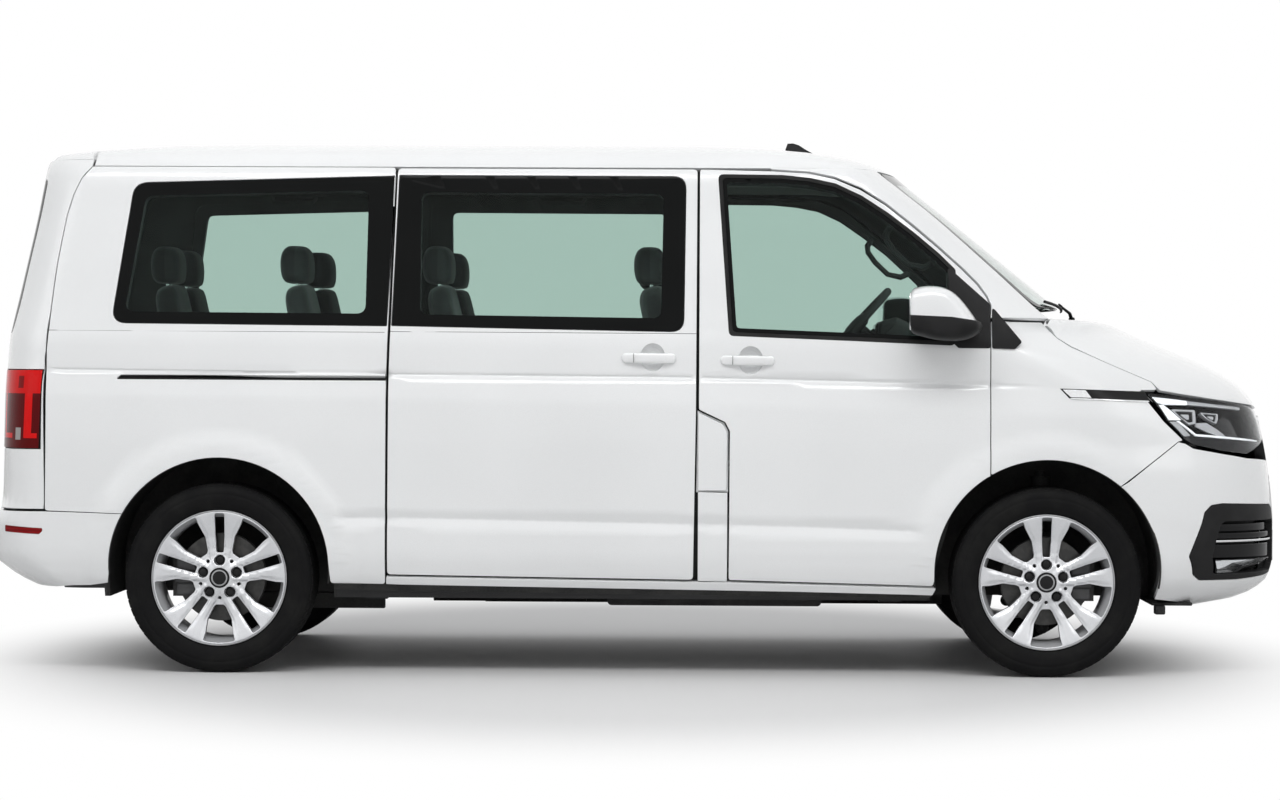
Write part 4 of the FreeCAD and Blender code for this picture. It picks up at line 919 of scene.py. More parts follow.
def tail_lamp_loop(side, d=0.0):
    """Tail lamp outline: front edge on the side, inner edge on the tail."""
    z0, z1 = 810 - d, 1097 + d
    front = [side_high(-648 + d, z0), side_high(-639 + d, z1)]
    loop = front + [(AW.find(-(716 - d), z1, "tail"), z1), (AW.find(-(700 - d), z0, "tail"), z0)]
    return loop if side < 0 else [(2 * TAIL_MID - a, z) for a, z in loop]


gate = panel(Form(), AW, spread(gate_outline()),
             [on_tail(soften(BACKLIGHT, 40))] + [spread(tail_lamp_loop(s, 1.5)) for s in (-1, 1)],
             depth=45.0, lines=ZLINES, edge=12.0, mats=(0, 1))
place(gate, "tailgate_panel", TRIM, "tailgate_lid", "tailgate", "white")

# roof skin and the screen posts
ROOF = Top("high", 1700.0, -760.0, 2620.0)


def roof_edge(z, n, x0, x1=None, m=2000):
    """Right edge of the body at a height, as x, y points from x0 to x1 or to the tail."""
    t = np.linspace(0, 5, m)
    x, y = half(t, np.full_like(t, z), "high")
    xs = np.linspace(x0, x[-1] + 1.0 if x1 is None else x1, n)
    return [(a, -float(np.interp(a, x[::-1], y[::-1]))) for a in xs]


def screen_x(y, z):
    k = AW.find(abs(y) + 1e-6, z, "nose")
    return float(AW.pt(k, z)[0])


top_front = [(screen_x(y, 1839) - 4, y) for y in np.linspace(-690, 690, 25)]
edge = [p for p in roof_edge(1846, 90, -478.0, 2600.0) if p[1] < -692]
roof_loop = edge + top_front + [(x, -y) for x, y in edge[::-1]]
roof = panel(Form(), ROOF, roof_loop, depth=36.0, step=(60, 50), mats=(0, 1), edge=16.0)
# screen posts: the face between the screen and the doors, from the roof down to the fender
post = [(2792, 1301), (2797, 1345), (2783, 1381), (2750, 1427), (2694, 1484), (2603, 1566), (2512, 1643),
        (2418, 1717), (2325, 1773), (2230, 1813), (2137, 1833), (2000, 1841), (1996, 1845)]
inner = [(694, 1843), (700, 1790), (795, 1322), (797, 1301)]
a_loop = [side_high(x, z) for x, z in post] + [(AW.find(-y, z, "nose"), z) for y, z in inner]
pillar = panel(Form(), AW, spread(a_loop), depth=30.0, mats=(0, 1), edge=9.0, step=(40, 22))
place(roof, "roof_skin", "paint lining", nodes="roof", slot="white")
pair(pillar, "screen_post", TRIM)

# hood
HOOD = Top("low", 940.0, 2700.0, 3960.0, 6.0)
HOOD_REAR = [(3200, 0), (3188, 240), (3138, 500), (3066, 700), (3020, 790), (2992, 857)]
hx, hz = zip(*fine([(2988, 1289), (3040, 1233), (3090, 1201), (3222, 1140), (3382, 1073), (3411, 1042),
                    (3480, 1031), (3600, 1014), (3740, 996)], 30)[:-1])
sel = [i for i in range(len(hx)) if hx[i] <= 3741 and (i == 0 or hx[i] > hx[i - 1])]
side_edge = [(hx[i], -abs(float(LW.pt(*side_pt(hx[i], hz[i]))[1]))) for i in sel]
nose_edge = [(float(LW.pt(*nose_pt(y, 962 + 26 * (y / 560.0) ** 2))[0]) - 1.0, y)
             for y in np.linspace(-560, 560, 21)]
side_edge = [p for p in side_edge if p[1] < -590 or p[0] < 3500]
rear_edge = [(x, y) for x, y in fine(HOOD_REAR, 40)[:-6] if y < 850]
hood_loop = side_edge + nose_edge + [(x, -y) for x, y in side_edge[::-1]] + rear_edge[::-1] \
    + [(x, -y) for x, y in rear_edge if y > 0]
hood = panel(Form(), HOOD, hood_loop, depth=20.0, step=(34, 30), edge=10.0, mats=(0, 1))
place(hood, "hood_panel", "paint black", "hood_lid", "hood", "white")


# front bumper in belt coordinates: from the nose centre round to the wheel arch
def mirror_loop(loop):
    return [(-a, z) for a, z in loop[::-1]]


def in_mm(work, loop):
    """Do something to a belt loop in mm, by the belt's usual scale on the nose corner."""
    return [(a / CORNER, b) for a, b in work([(a * CORNER, b) for a, b in loop])]


CORNER = 520.0           # one unit along the belt on the nose corner, mm
arch_low = [p for p in arc(ARCH_F, 50.0, -14, 22) if p[0] > 3200 and p[1] > 262]
upper = [side_pt(x, z) for x, z in ((3371, 774.3), (3475, 853.8), (3500, 848), (3531, 830), (3640, 811),
                                    (3744, 793))]
upper += [nose_pt(y, z) for y, z in ((-556, 780), (-546, 716), (-530, 700))]
right_half = [side_pt(x, z) for x, z in arch_low[::-1]] + upper
bottom = [nose_pt(-500, 246), side_pt(3560, 246)]
bump_loop = right_half + mirror_loop(right_half) + mirror_loop(bottom) + bottom
INTAKE = [side_pt(x, z) for x, z in ((3528, 374), (3512, 441), (3570, 600), (3596, 626), (3640, 632))]
INTAKE += [nose_pt(y, z) for y, z in ((-640, 622), (-585, 607), (-566, 575), (-566, 400), (-590, 366))]
INTAKE = in_mm(lambda loop: soften(loop, 16), INTAKE + [side_pt(3700, 352), side_pt(3553, 352)])
MIDDLE = [nose_pt(y, z) for y, z in ((-520, 384), (-520, 522), (-500, 540), (500, 540), (520, 522),
                                     (520, 384), (495, 366), (-495, 366))]
bumper = panel(Form(), LW, spread(bump_loop, 0.03, 18),
               [spread(INTAKE, 0.03, 16), spread(mirror_loop(INTAKE), 0.03, 16), spread(MIDDLE, 0.05, 18)],
               depth=42.0, step=(40, 24), edge=10.0, mats=(0, 1))
place(bumper, "front_bumper_shell", TRIM, nodes="front_bumper", slot="white")

# rear bumper
low = [(-640, 583), (-352, 575), *arc(ARCH_R, 151.0, 183.0, 16), (-404, 324), (-470, 314), (-600, 306)]
rear = panel(Form(), AW, spread(over_tail([side_high(x, z) for x, z in low]), 0.04, 20), depth=42.0,
             step=(46, 22), edge=10.0, mats=(0, 1))
place(rear, "rear_bumper_shell", TRIM, nodes="rear_bumper", slot="white")


# ------------------------------------------------------------------ glass
def on_nose(yz):
    return on_end(yz, "nose")


def pane(outline, clear, mapper=on_side, gap=3.0, soft=8, thick=4.5, edge=18.0):
    """A pane with a dark printed rim outside the clear loop."""
    return panel(Form(), AW, mapper(soften(grow(outline, -gap), soft)), split=mapper(clear), depth=thick,
                 turn=0.8, lift=1.5, step=(60, 50), mats=(0, 2, 2), edge=edge, rim=1)


def band(outer, inner, **kw):
    """A ring of trim between two outlines on the side."""
    return panel(Form(), AW, on_side(outer), [on_side(inner)], **kw)


CLR_DOOR = soften(grow(WIN_DOOR, -17), 14)
WINDOWS = [("rear_side", WIN_REAR, CLR_REAR, "body"), ("middle", WIN_SLIDE, CLR_SLIDE, "body"),
           ("front_door", WIN_DOOR, CLR_DOOR, "door_{}")]
for (name, win, clr, body), right, nodes in zip(WINDOWS, ("rear_side", "sliding_door", "front_door"),
                                                ("side_glass", "sliding_door_glass", "door_glass_{}")):
    g = pane(win, clr, gap=3.2, edge=16.0)
    if name == "front_door":
        pair(g, "front_door_pane", GLASS, body, nodes, "tinted_glass")
    else:
        place(g, right + "_pane" + ("_right" if name == right else ""), GLASS, nodes=nodes,
              slot="tinted_glass")
        place(mirrored(g), name + "_pane_left", GLASS)
    pair(band(grow(win, -1), clr, lift=8.0, depth=40.0, turn=1.5, edge=400.0), name + "_frame", "trim", body)
SCREEN = [(-790, 1342), (790, 1342), (694, 1838), (-694, 1838)]
SCREEN_CLR = [(-742, 1352), (742, 1352), (652, 1796), (-652, 1796)]
place(pane(SCREEN, soften(SCREEN_CLR, 60), on_nose, soft=46, thick=6.0), "windscreen_pane", SCREEN_GLASS,
      nodes="windscreen", slot="clear_glass")
place(pane(BACKLIGHT, soften(BACKLIGHT_CLR, 50), on_tail, soft=40), "tailgate_pane", GLASS, "tailgate_lid",
      "tailgate_glass", "tinted_glass")


# ------------------------------------------------------------------ repeated pieces
def repeat_tree():
    """Node tree: Count copies of Piece, each one Step and one Turn further on."""
    t = bpy.data.node_groups.new("repeat_piece", "GeometryNodeTree")
    for name, kind in (("Piece", "NodeSocketObject"), ("Count", "NodeSocketInt"),
                       ("Step", "NodeSocketVector"), ("Turn", "NodeSocketVector"),
                       ("Finish", "NodeSocketMaterial")):
        t.interface.new_socket(name, in_out="INPUT", socket_type=kind)
    t.interface.new_socket("Geometry", in_out="OUTPUT", socket_type="NodeSocketGeometry")
    n = {k: t.nodes.new(v) for k, v in {
        "in": "NodeGroupInput", "out": "NodeGroupOutput", "pts": "GeometryNodePoints",
        "i": "GeometryNodeInputIndex", "step": "ShaderNodeVectorMath", "turn": "ShaderNodeVectorMath",
        "obj": "GeometryNodeObjectInfo", "inst": "GeometryNodeInstanceOnPoints",
        "real": "GeometryNodeRealizeInstances", "mat": "GeometryNodeSetMaterial"}.items()}
    n["step"].operation = n["turn"].operation = "SCALE"
    wires = [("in", "Piece", "obj", 0), ("in", "Count", "pts", "Count"), ("in", "Step", "step", 0),
             ("in", "Turn", "turn", 0), ("i", 0, "step", "Scale"), ("i", 0, "turn", "Scale"),
             ("step", 0, "pts", "Position"), ("pts", 0, "inst", "Points"),
             ("obj", "Geometry", "inst", "Instance"), ("turn", 0, "inst", "Rotation"),
             ("inst", 0, "real", 0), ("real", 0, "mat", "Geometry"), ("in", "Finish", "mat", "Material"),
             ("mat", 0, "out", 0)]
    for a, b, c, d in wires:
        t.links.new(n[a].outputs[b], n[c].inputs[d])
    return t


REPEAT = repeat_tree()


def repeated(form, count, turn, finish):
    """A form repeated round the axle by the node tree, as a Form again (mm, about the origin)."""
    me = bpy.data.meshes.new("seed_piece")
    v = np.concatenate(form.v) / 1000.0
    me.from_pydata(v.tolist(), [], form.f)
    seed = bpy.data.objects.new("seed_piece", me)
    host = bpy.data.objects.new("repeat_host", bpy.data.meshes.new("repeat_host"))
    for ob in (seed, host):
        bpy.context.scene.collection.objects.link(ob)
    mod = host.modifiers.new("repeat", "NODES")
    mod.node_group = REPEAT
    values = {"Piece": seed, "Count": count, "Step": [0.0] * 3, "Turn": [0.0, turn, 0.0],
              "Finish": FIN[finish]}
    for item in REPEAT.interface.items_tree:
        if item.item_type == "SOCKET" and item.in_out == "INPUT":
            mod[item.identifier] = values[item.name]
    host.update_tag()
    bpy.context.view_layer.update()
    made = bpy.data.meshes.new_from_object(host.evaluated_get(bpy.context.evaluated_depsgraph_get()))
    out = Form().add(mesh_points(made) * 1000.0, [tuple(p.vertices) for p in made.polygons])
    host.modifiers.clear()
    for ob in (seed, host):
        discard(ob)
    bpy.data.meshes.remove(made)
    return out


def mesh_points(me):
    co = np.empty(len(me.vertices) * 3)
    me.vertices.foreach_get("co", co)
    return co.reshape(-1, 3)


def discard(ob):
    data = ob.data
    bpy.data.objects.remove(ob)
    bpy.data.meshes.remove(data)


def joined(*forms):
    out = Form()
    for f in forms:
        out.add(np.concatenate(f.v), f.f, f.m, np.concatenate(f.n))
    return out


# ---------------------------------------------------------- wheels, outside facing -y, about their own centre
SPOKES, FIFTH = 5, 72.0


class Dish:
    """Wheel face: a is x, b is z; each spoke of a pair is a raised blade that widens outwards."""

    def pt(self, a, b):
        a, b = np.asarray(a, float), np.asarray(b, float)
        r = np.hypot(a, b)
        y = np.interp(r, [0, 40, 60, 80, 110, 150, 200, 232, 240],
                      [103, 102.5, 98, 91, 89, 92, 103, 111.5, 112.5])
        ang = (np.degrees(np.arctan2(b, a)) - 90.0 + FIFTH / 2) % FIFTH - FIFTH / 2
        u, v = r * np.cos(np.radians(ang)), np.abs(r * np.sin(np.radians(ang)))
        mid = np.interp(u, [40, 60, 108, 157, 205, 241], [14, 25, 30, 34, 47, 51])
        k = np.clip((1.25 - np.abs(v - mid) / np.interp(u, [60, 157, 241], [9, 15, 32])) / 0.7, 0, 1)
        rise = k * k * (3 - 2 * k) * np.interp(u, [38, 60, 90, 200, 232], [0, 4, 7, 4, 0])
        return np.stack([a, -(y + rise), b], -1)

    def normal(self, a, b):
        e = 0.8
        a, b = np.asarray(a, float), np.asarray(b, float)
        n = np.cross(self.pt(a + e, b) - self.pt(a - e, b), self.pt(a, b + e) - self.pt(a, b - e))
        return n / np.maximum(np.linalg.norm(n, axis=-1, keepdims=True), 1e-9)


def turned(loop, deg):
    c, s = math.cos(math.radians(deg)), math.sin(math.radians(deg))
    return [(x * c - z * s, x * s + z * c) for x, z in loop]


def ring_of(x, r, n):
    """A round hole x mm out from the wheel's middle."""
    return arc((x, 0, r), 0, 360, n)[:-1]


def wheel_face():
    slot = fine(soften([(92, -13), (150, -15.5), (234, -17), (234, 17), (150, 15.5), (92, 13)], 6), 9)
    lower = [(99, -14), (107, -22), (150, -43), (200, -50), (227, -58), (233, -30)]
    window = fine(soften(lower + [(235, 0)] + [(x, -z) for x, z in lower[::-1]], 6), 8)
    cuts = [(slot, 90), (window, 126), (ring_of(64, 18.5, 24), 90), (ring_of(74, 6.0, 12), 126)]
    holes = [turned(loop, at + FIFTH * k) for k in range(SPOKES) for loop, at in cuts]
    return panel(Form(), Dish(), ring_of(0, 241, 120), holes, depth=26.0, turn=3.0, step=(8, 7), edge=4.0)


def rim_barrel():
    f = Form().lathe([(240, -106), (241, -112.5), (243.5, -114.5), (246, -113.5), (246.5, -110),
                      (246, -101.5), (237.5, -100), (237, -87.5), (226, -60), (226, 60), (237, 87.5),
                      (237.5, 100), (246, 101.5), (246, 113), (243, 114.5), (239, 112), (230, 84),
                      (220, 62), (220, -60), (228, -86), (240, -106)], n=96)
    f.lathe([(0.01, -107.5), (18, -107.2), (29, -105.8), (33, -103.4), (34.5, -100), (34.5, -70)], n=48)
    f.lathe([(40, -100.5), (44, -97), (44, -50), (30, -46), (0.01, -46)], n=48)
    for k in range(SPOKES):
        (x, z), = turned([(64, 0)], 90 + FIFTH * k)
        f.lathe([(18.4, -92), (17.6, -90), (17.2, -70), (0.01, -70)], (x, 0, z), n=24)
    return f


def lug_bolts():
    seed = Form().lathe([(0.01, -93), (7, -92.6), (13, -91), (16, -88), (17, -83), (17, -70)], (0, 0, 64),
                        n=24)
    cap = Form().lathe([(29.6, -106.4), (31, -107.2), (35.5, -106.4), (37, -103), (37, -96)], n=48)
    cap.lathe([(0.01, -108.6), (18, -108.3), (24, -107.4), (25, -105)], n=48)
    return joined(repeated(seed, SPOKES, math.radians(FIFTH), "black"), cap)


def tyre_form():
    outer = [(237.8, 101.5), (247, 103), (250, 113), (256, 118.5), (262, 119.5), (264, 121), (276, 124.5),
             (292, 127), (301, 127.3), (303, 126.3), (306, 126.3), (308, 127.1), (318, 125.6), (327, 122),
             (334.5, 117), (338.5, 110), (341.2, 98)]
    for c in (62, 22):
        outer += [(343.0, c + 7), (342.6, c + 4.6), (335.5, c + 3.6), (335.5, c - 3.6), (342.6, c - 4.6),
                  (343.2, c - 7)]
    inner = [(237.8, 94), (250, 86), (300, 112), (325, 104), (331, 60)]
    both = [[(r, -y) for r, y in half_loop] for half_loop in (outer, inner)]
    return Form().lathe(both[0] + outer[::-1] + inner + both[1][::-1] + [(237.8, -101.5)], n=120)


TREAD_TOP, TREAD_FOOT = 343.4, 334.0


def tread_blocks():
    """Shoulder blocks and slanted tread bars standing a little proud of the carcass."""
    forms = []
    for y0, y1, count, skew in ((78, 112, 64, 6), (-112, -78, 64, -6), (29, 55, 72, -9), (-55, -29, 72, 9),
                                (-15, 15, 72, 5)):
        w = 2 * math.pi * 343 / count * 0.80
        pts = []
        for x, z in ((-w / 2, TREAD_TOP), (w / 2, TREAD_TOP), (w / 2 + 0.5, TREAD_FOOT),
                     (-w / 2 - 0.5, TREAD_FOOT)):
            for y in (y0, y1):
                drop = 2.6 if abs(y) > 100 and z == TREAD_TOP else 0.0
                pts.append((x + skew * (y - (y0 + y1) / 2) / 30.0, y, z - drop))
        seed = Form().add(pts, [(0, 2, 3, 1), (2, 4, 5, 3), (6, 0, 1, 7), (0, 6, 4, 2), (1, 3, 5, 7)])
        forms.append(repeated(seed, count, 2 * math.pi / count, "tyre"))
    return joined(*forms)


def brake_disc():
    """Vented disc with its bell, outside facing -y."""
    f = Form().lathe([(150, -30.6), (159, -30.6), (160.5, -29), (160.5, -22), (154, -21), (154, -9),
                      (160.5, -8), (160.5, 1), (159, 2.4), (90, 2.4)], n=96)
    f.lathe([(92, -30.6), (150, -30.6)], n=96)
    return f.lathe([(34, -48), (78, -47), (86, -44), (90, -38), (92, -30.6)], n=72, mat=1)


WHEEL = [(wheel_face(), "wheel_spokes", "alloy", "rim", "alloy", 35.0),
         (rim_barrel(), "wheel_barrel", "rim_silver", "", None, 40.0),
         (lug_bolts(), "wheel_bolts", "black", "", None, 30.0),
         (tyre_form(), "tyre_carcass", "tyre", "tyre", "tyre_rubber", 50.0),
         (tread_blocks(), "tyre_tread", "tyre", "", None, 30.0)]
SIDES = (("left", 1), ("right", -1))
for axle, wx in (("front", WHEELBASE), ("rear", 0.0)):
    for tag, s in SIDES:
        at, end = (wx, s * TRACK / 2, AXLE_Z), "_%s_%s" % (axle, tag)
        for form, name, finish, node, slot, crease in WHEEL:
            place(moved(form, at, (-s, -s, 1)), name + end, finish, "wheel_" + axle[0] + tag[0],
                  node and node + end, slot, crease)
DISC = brake_disc()
for tag, s in SIDES:
    for axle, wx, lean, body in (("front", WHEELBASE, 1, "knuckle_" + tag[0]), ("rear", 0.0, -1, "body")):
        place(moved(DISC, (wx, s * TRACK / 2, AXLE_Z), (-s, -s, 1)), "%s_brake_disc_%s" % (axle, tag),
              "brake iron", body)
        c = Form()
        y0, y1 = sorted((s * (TRACK / 2 - 28), s * (TRACK / 2 + 53)))
        for k, z in enumerate((-44, 0, 44)):
            near, far = wx + lean * 92, wx + lean * (172 - 6 * abs(k - 1))
            c.block((near, y0, AXLE_Z + z - 24), (far, y1, AXLE_Z + z + 24), 9, 3)
        place(c, "brake_caliper_%s_%s" % (axle, tag), "caliper", body)


# ------------------------------------------------------------------ tailgate top, tail lamps, lower edges
def level(z, x_from, n=60):
    """Body outline at a height behind x_from, right side to left side, as x, y points."""
    right = roof_edge(z, n, x_from, None, 3000)
    return right + [(a, -b) for a, b in right[::-1]]


f = panel(Form(), ROOF, level(1872, -486.0), depth=30.0, step=(22, 46), edge=9.0, mats=(0, 1))
place(f, "tailgate_top", "paint black", "tailgate_lid")
f = Form().block((-646, -150, 1872), (-628, 150, 1884), 3)
place(f, "high_stop_lamp", "red", "tailgate_lid")


def strip(f, chart, p0, p1, width, lift, depth=4.0, n=24, turn=0.8):
    """A narrow raised bar between two points in belt coordinates."""
    (a0, b0), (a1, b1) = p0, p1
    up = [(a0 + (a1 - a0) * k / n, b0 + (b1 - b0) * k / n + width / 2) for k in range(n + 1)]
    low = [(a, b - width) for a, b in up[::-1]]
    return panel(f, chart, low + up, depth=depth, lift=lift, turn=turn, edge=NO_INNER)


for tag, s in SIDES[::-1]:
    f = panel(Form(), AW, spread(tail_lamp_loop(s, -2.0), 0.03, 14), depth=5.0, turn=1.6, lift=-1.5,
              step=(26, 18), edge=8.0)
    place(f, "tail_lamp_cover_" + tag, "tail_lens", "tailgate_lid", "tail_lamps" if s < 0 else "", "red_lens")
    f = panel(Form(), AW, spread(tail_lamp_loop(s, 4.0), 0.03, 14), depth=8.0, turn=1.6, lift=4.5,
              step=(40, 30), edge=12.0)
    place(f, "tail_lamp_back_" + tag, "black", "tailgate_lid")

# reflector in the rear bumper, tailgate grip, plate holder
REFLECT = [(-786, 507), (-652, 500), (-640, 511), (-640, 522), (-786, 531)]
f = panel(Form(), AW, on_side(soften(REFLECT, 4)), depth=8.0, turn=1.5, lift=-1.2, step=(30, 9), edge=6.0)
pair(f, "rear_reflector", "red_dark")
f = strip(Form(), AW, *over_tail([(AW.find(-300.0, 640.0, "tail"), 640.0)]), 46.0, -3.0, 9.0, n=30, turn=3.0)
place(f, "tailgate_grip", "black", "tailgate_lid")
plate = wound(on_tail([(-265, 700), (265, 700), (265, 812), (-265, 812)]))
f = panel(Form(), AW, plate, depth=4.0, turn=1.2, lift=-2.0, step=(60, 40), edge=10.0)
place(f, "rear_plate_holder", "black", "tailgate_lid")

# ------------------------------------------------------------------ seals and shut lines
pair(band(soften(grow(grow(WIN_DOOR, -2.0), 15.0), 20), soften(grow(WIN_DOOR, -2.0), 16), lift=-1.2,
          depth=9.0, turn=2.0, edge=NO_INNER), "door_glass_seal", "seal", "door_{}")
# dark rubber behind the shut lines: a band following each one under the skin
DOOR_SEAL = [(1742, 352), (2560, 340), (2590, 420), (2640, 600), (2700, 700), (2780, 760), (2788, 1340)] + \
    [(x, z - 6) for x, z in DOOR_TOP[::-1][1:]] + [(1744, ROOF_LINE - 8)]
for name, line, w, lift in (("sliding_door_seal", SLIDE, 16.0, 24.0),
                            ("front_door_seal", DOOR_SEAL, 15.0, 30.0)):
    pair(band(grow(line, w), grow(line, -w), depth=6.0, lift=lift, turn=1.0, edge=NO_INNER), name, "seal")

# ------------------------------------------------------------------ sliding door rail, handles
f = panel(Form(), AW, on_side(grow(RAIL, 3.0)), depth=2.0, lift=17.0, turn=0.6, edge=NO_INNER)
place(f, "rail_channel", "black")
f = strip(Form(), AW, side_high(-366, 1067), side_high(600, 1066), 4.0, 3.0, 12.0, n=40)
place(f, "rail_bar", "black")


def cup_dish(loop):
    """Finger cup pressed into a door skin: rings that step inwards and shrink."""
    f = Form()
    rings = [(1.0, -0.2), (0.985, 2.0), (0.95, 5.0), (0.86, 11.0), (0.7, 16.5), (0.45, 20.5), (0.2, 22.0)]
    rows = []
    for k, depth in rings:
        q = np.array(on_side(scaled(loop, k)))
        rows.append(AW.pt(*q.T) - AW.normal(*q.T) * depth)
    for a, b in zip(rows, rows[1:]):
        f.ring(a, b)
    return f.add(rows[-1], [tuple(range(len(loop)))])


def scaled(pts, k):
    c = np.mean(pts, axis=0)
    return [tuple(c + (np.array(p) - c) * k) for p in pts]


def blunt(v):
    return math.copysign(abs(v) ** 0.7, v)


def handle(x0, x1, z0, z1):
    """Pull handle of the right side: a rounded bar over the cup, with a fine joint before its lock cover."""
    zc, slope, rows, cols = (z0 + z1) / 2.0, 0.05, 26, 16
    pts = []
    for k in range(rows):
        t = 0.5 - 0.5 * math.cos(math.pi * k / (rows - 1))
        x = x0 + (x1 - x0) * t
        z = zc + 18 * (1 - 2 * t) * slope
        near_end = max(0.0, 1.0 - min(t, 1.0 - t) * (x1 - x0) / 15.0)
        end = max(0.08, math.sqrt(max(0.0, 1.0 - near_end ** 2)))
        out = 12 + 11 * math.sin(math.pi * min(1.0, max(0.0, t * 1.3 - 0.15))) ** 0.5
        for a in (2 * math.pi * j / cols for j in range(cols)):
            y = float(side_w(x, z)) + out - 8 + 8 * blunt(math.cos(a)) * end
            pts.append((x, -y, z + (z1 - z0) / 2 * end * blunt(math.sin(a))))
    f = Form().add(pts, grid_faces(rows, cols, side=-1) + [c[::-1] for c in caps(rows, cols)])
    xs = x0 + 44
    y = float(side_w(xs, zc))
    return f.tube([(xs, -(y + 23.6), zc - 16), (xs, -(y + 24.0), zc + 17)], 0.9, 6, 1)


bar, cup = handle(1458, 1656, 1130, 1167), cup_dish(CUP_SLIDE)
place(bar, "sliding_door_handle", "paint black", "body", "handle_sliding", "white")
place(cup, "sliding_door_handle_cup", "paint", "body", crease=60)
bar, cup = handle(1816, 2012, 1124, 1160), cup_dish(CUP_DOOR)
for side in ("right", "left"):
    bar, cup = (bar, cup) if side == "right" else (mirrored(bar), mirrored(cup))
    place(bar, "door_handle_" + side, "paint black", "door_" + side, "handle_" + side, "white")
    place(cup, "door_handle_" + side + "_cup", "paint", "door_" + side, crease=60)


# ------------------------------------------------------------------ mirrors
def even(pts, n):
    """n points evenly spaced on a line whose corners are cut three times."""
    for _ in range(3):
        cuts = [tuple((1 - k) * np.array(p) + k * np.array(q)) for p, q in zip(pts, pts[1:])
                for k in (0.25, 0.75)]
        pts = [pts[0]] + cuts + [pts[-1]]
    pts = np.array(pts)
    run = travel(pts)
    return np.stack([np.interp(np.linspace(0, run[-1], n), run, pts[:, i]) for i in (0, 1)], -1)


def mirror_head():
    """Housing as rounded slices from the inner to the outer end, right side; cap above, black below."""
    up = [(2505, 1308), (2505, 1372), (2514, 1400), (2550, 1413), (2614, 1411), (2660, 1390), (2702, 1345),
          (2742, 1288)]
    low = [(2742, 1288), (2757, 1286), (2762, 1262), (2744, 1236), (2690, 1214), (2600, 1216), (2526, 1236),
           (2505, 1256), (2505, 1308)]
    half_n = 25
    o = np.concatenate([even(up, half_n + 1)[:-1], even(low, half_n + 1)[:-1]])
    mid, y_in = np.array([2618.0, 1306.0]), 962
    back = np.clip((2545 - o[:, 0]) / 40, 0, 1)
    rows, n = [], len(o)
    for y, k in ((962, 0.72), (966, 0.84), (975, 0.92), (990, 0.965), (1012, 0.99), (1040, 1.0),
                 (1070, 0.995), (1096, 0.975), (1118, 0.935), (1134, 0.87), (1144, 0.77), (1149, 0.60),
                 (1150.5, 0.3)):
        q = mid + (o - mid) * k
        q[:, 0] -= 0.10 * (y - y_in)
        q[:, 0] += back * (2505 - 0.10 * (y - y_in) - q[:, 0]) * 0.9
        rows.append(np.stack([q[:, 0], np.full(n, -float(y)), q[:, 1]], -1))
    k = (len(rows) - 1) * n
    faces = grid_faces(len(rows), n, side=-1) + [tuple(range(n)), tuple(k + j for j in range(half_n, -1, -1)),
                                                 tuple(k + j % n for j in range(n, half_n - 1, -1))]
    mats = [0 if j < half_n and i > 1 else 1 for i in range(len(rows) - 1) for j in range(n)]
    return Form().add(np.concatenate(rows), faces, mats + [1, 0, 1])


def mirror_foot():
    f = Form().tube([(2700, -905, 1240), (2694, -940, 1242), (2672, -985, 1252), (2650, -1020, 1262)],
                    [34, 30, 26, 24], 18, flat=0.62)
    return f.block((2672, -926, 1206), (2776, -902, 1262), 9, 3)


def mirror_glass():
    loop = soften([(-984, 1250), (-1118, 1254), (-1124, 1376), (-1096, 1388), (-996, 1382), (-984, 1356)], 18)
    c = [(2503.6 - 0.10 * (-y - 962), y, z) for y, z in loop]
    d = [(x + 4, y, z) for x, y, z in c]
    n = len(c)
    return Form().add(c + d, [tuple(range(n))] + grid_faces(2, n, side=-1))


pair(mirror_head(), "mirror_housing", "paint black", "door_{}", "mirror_{}", "mirror_shell", 50, weld=True)
pair(mirror_foot(), "mirror_foot", "black", "door_{}", crease=45, weld=True)
pair(mirror_glass(), "mirror_glass", "mirror", "door_{}", weld=True)

# ------------------------------------------------------------------ roof aerial, wipers, cowl
FIN_ROWS = [(2068, 1936, 17), (2070, 1962, 12), (2078, 1984, 6), (2100, 1985, 4), (2122, 1978, 4),
            (2150, 1960, 6), (2180, 1944, 9), (2200, 1934, 12)]
pts = []
for x, z, w in FIN_ROWS:
    foot = 1932 + (z - 1932) * 0.35
    pts += [(x, y, h) for y, h in ((-w, 1928), (-w, foot), (-w * 0.55, z - 2), (0, z), (w * 0.55, z - 2),
                                   (w, foot), (w, 1928))]
n = len(FIN_ROWS)
place(Form().add(pts, grid_faces(n, 7, closed=False) + caps(n, 7)), "roof_aerial", "black",
      nodes="roof_fin", crease=60, weld=True)


def on_screen(y, z, off):
    """The point off mm before the windscreen."""
    k = AW.find(y + (1e-6 if y >= 0 else -1e-6), z, "nose")
    return tuple(AW.pt(k, z) + AW.normal(k, z) * off)


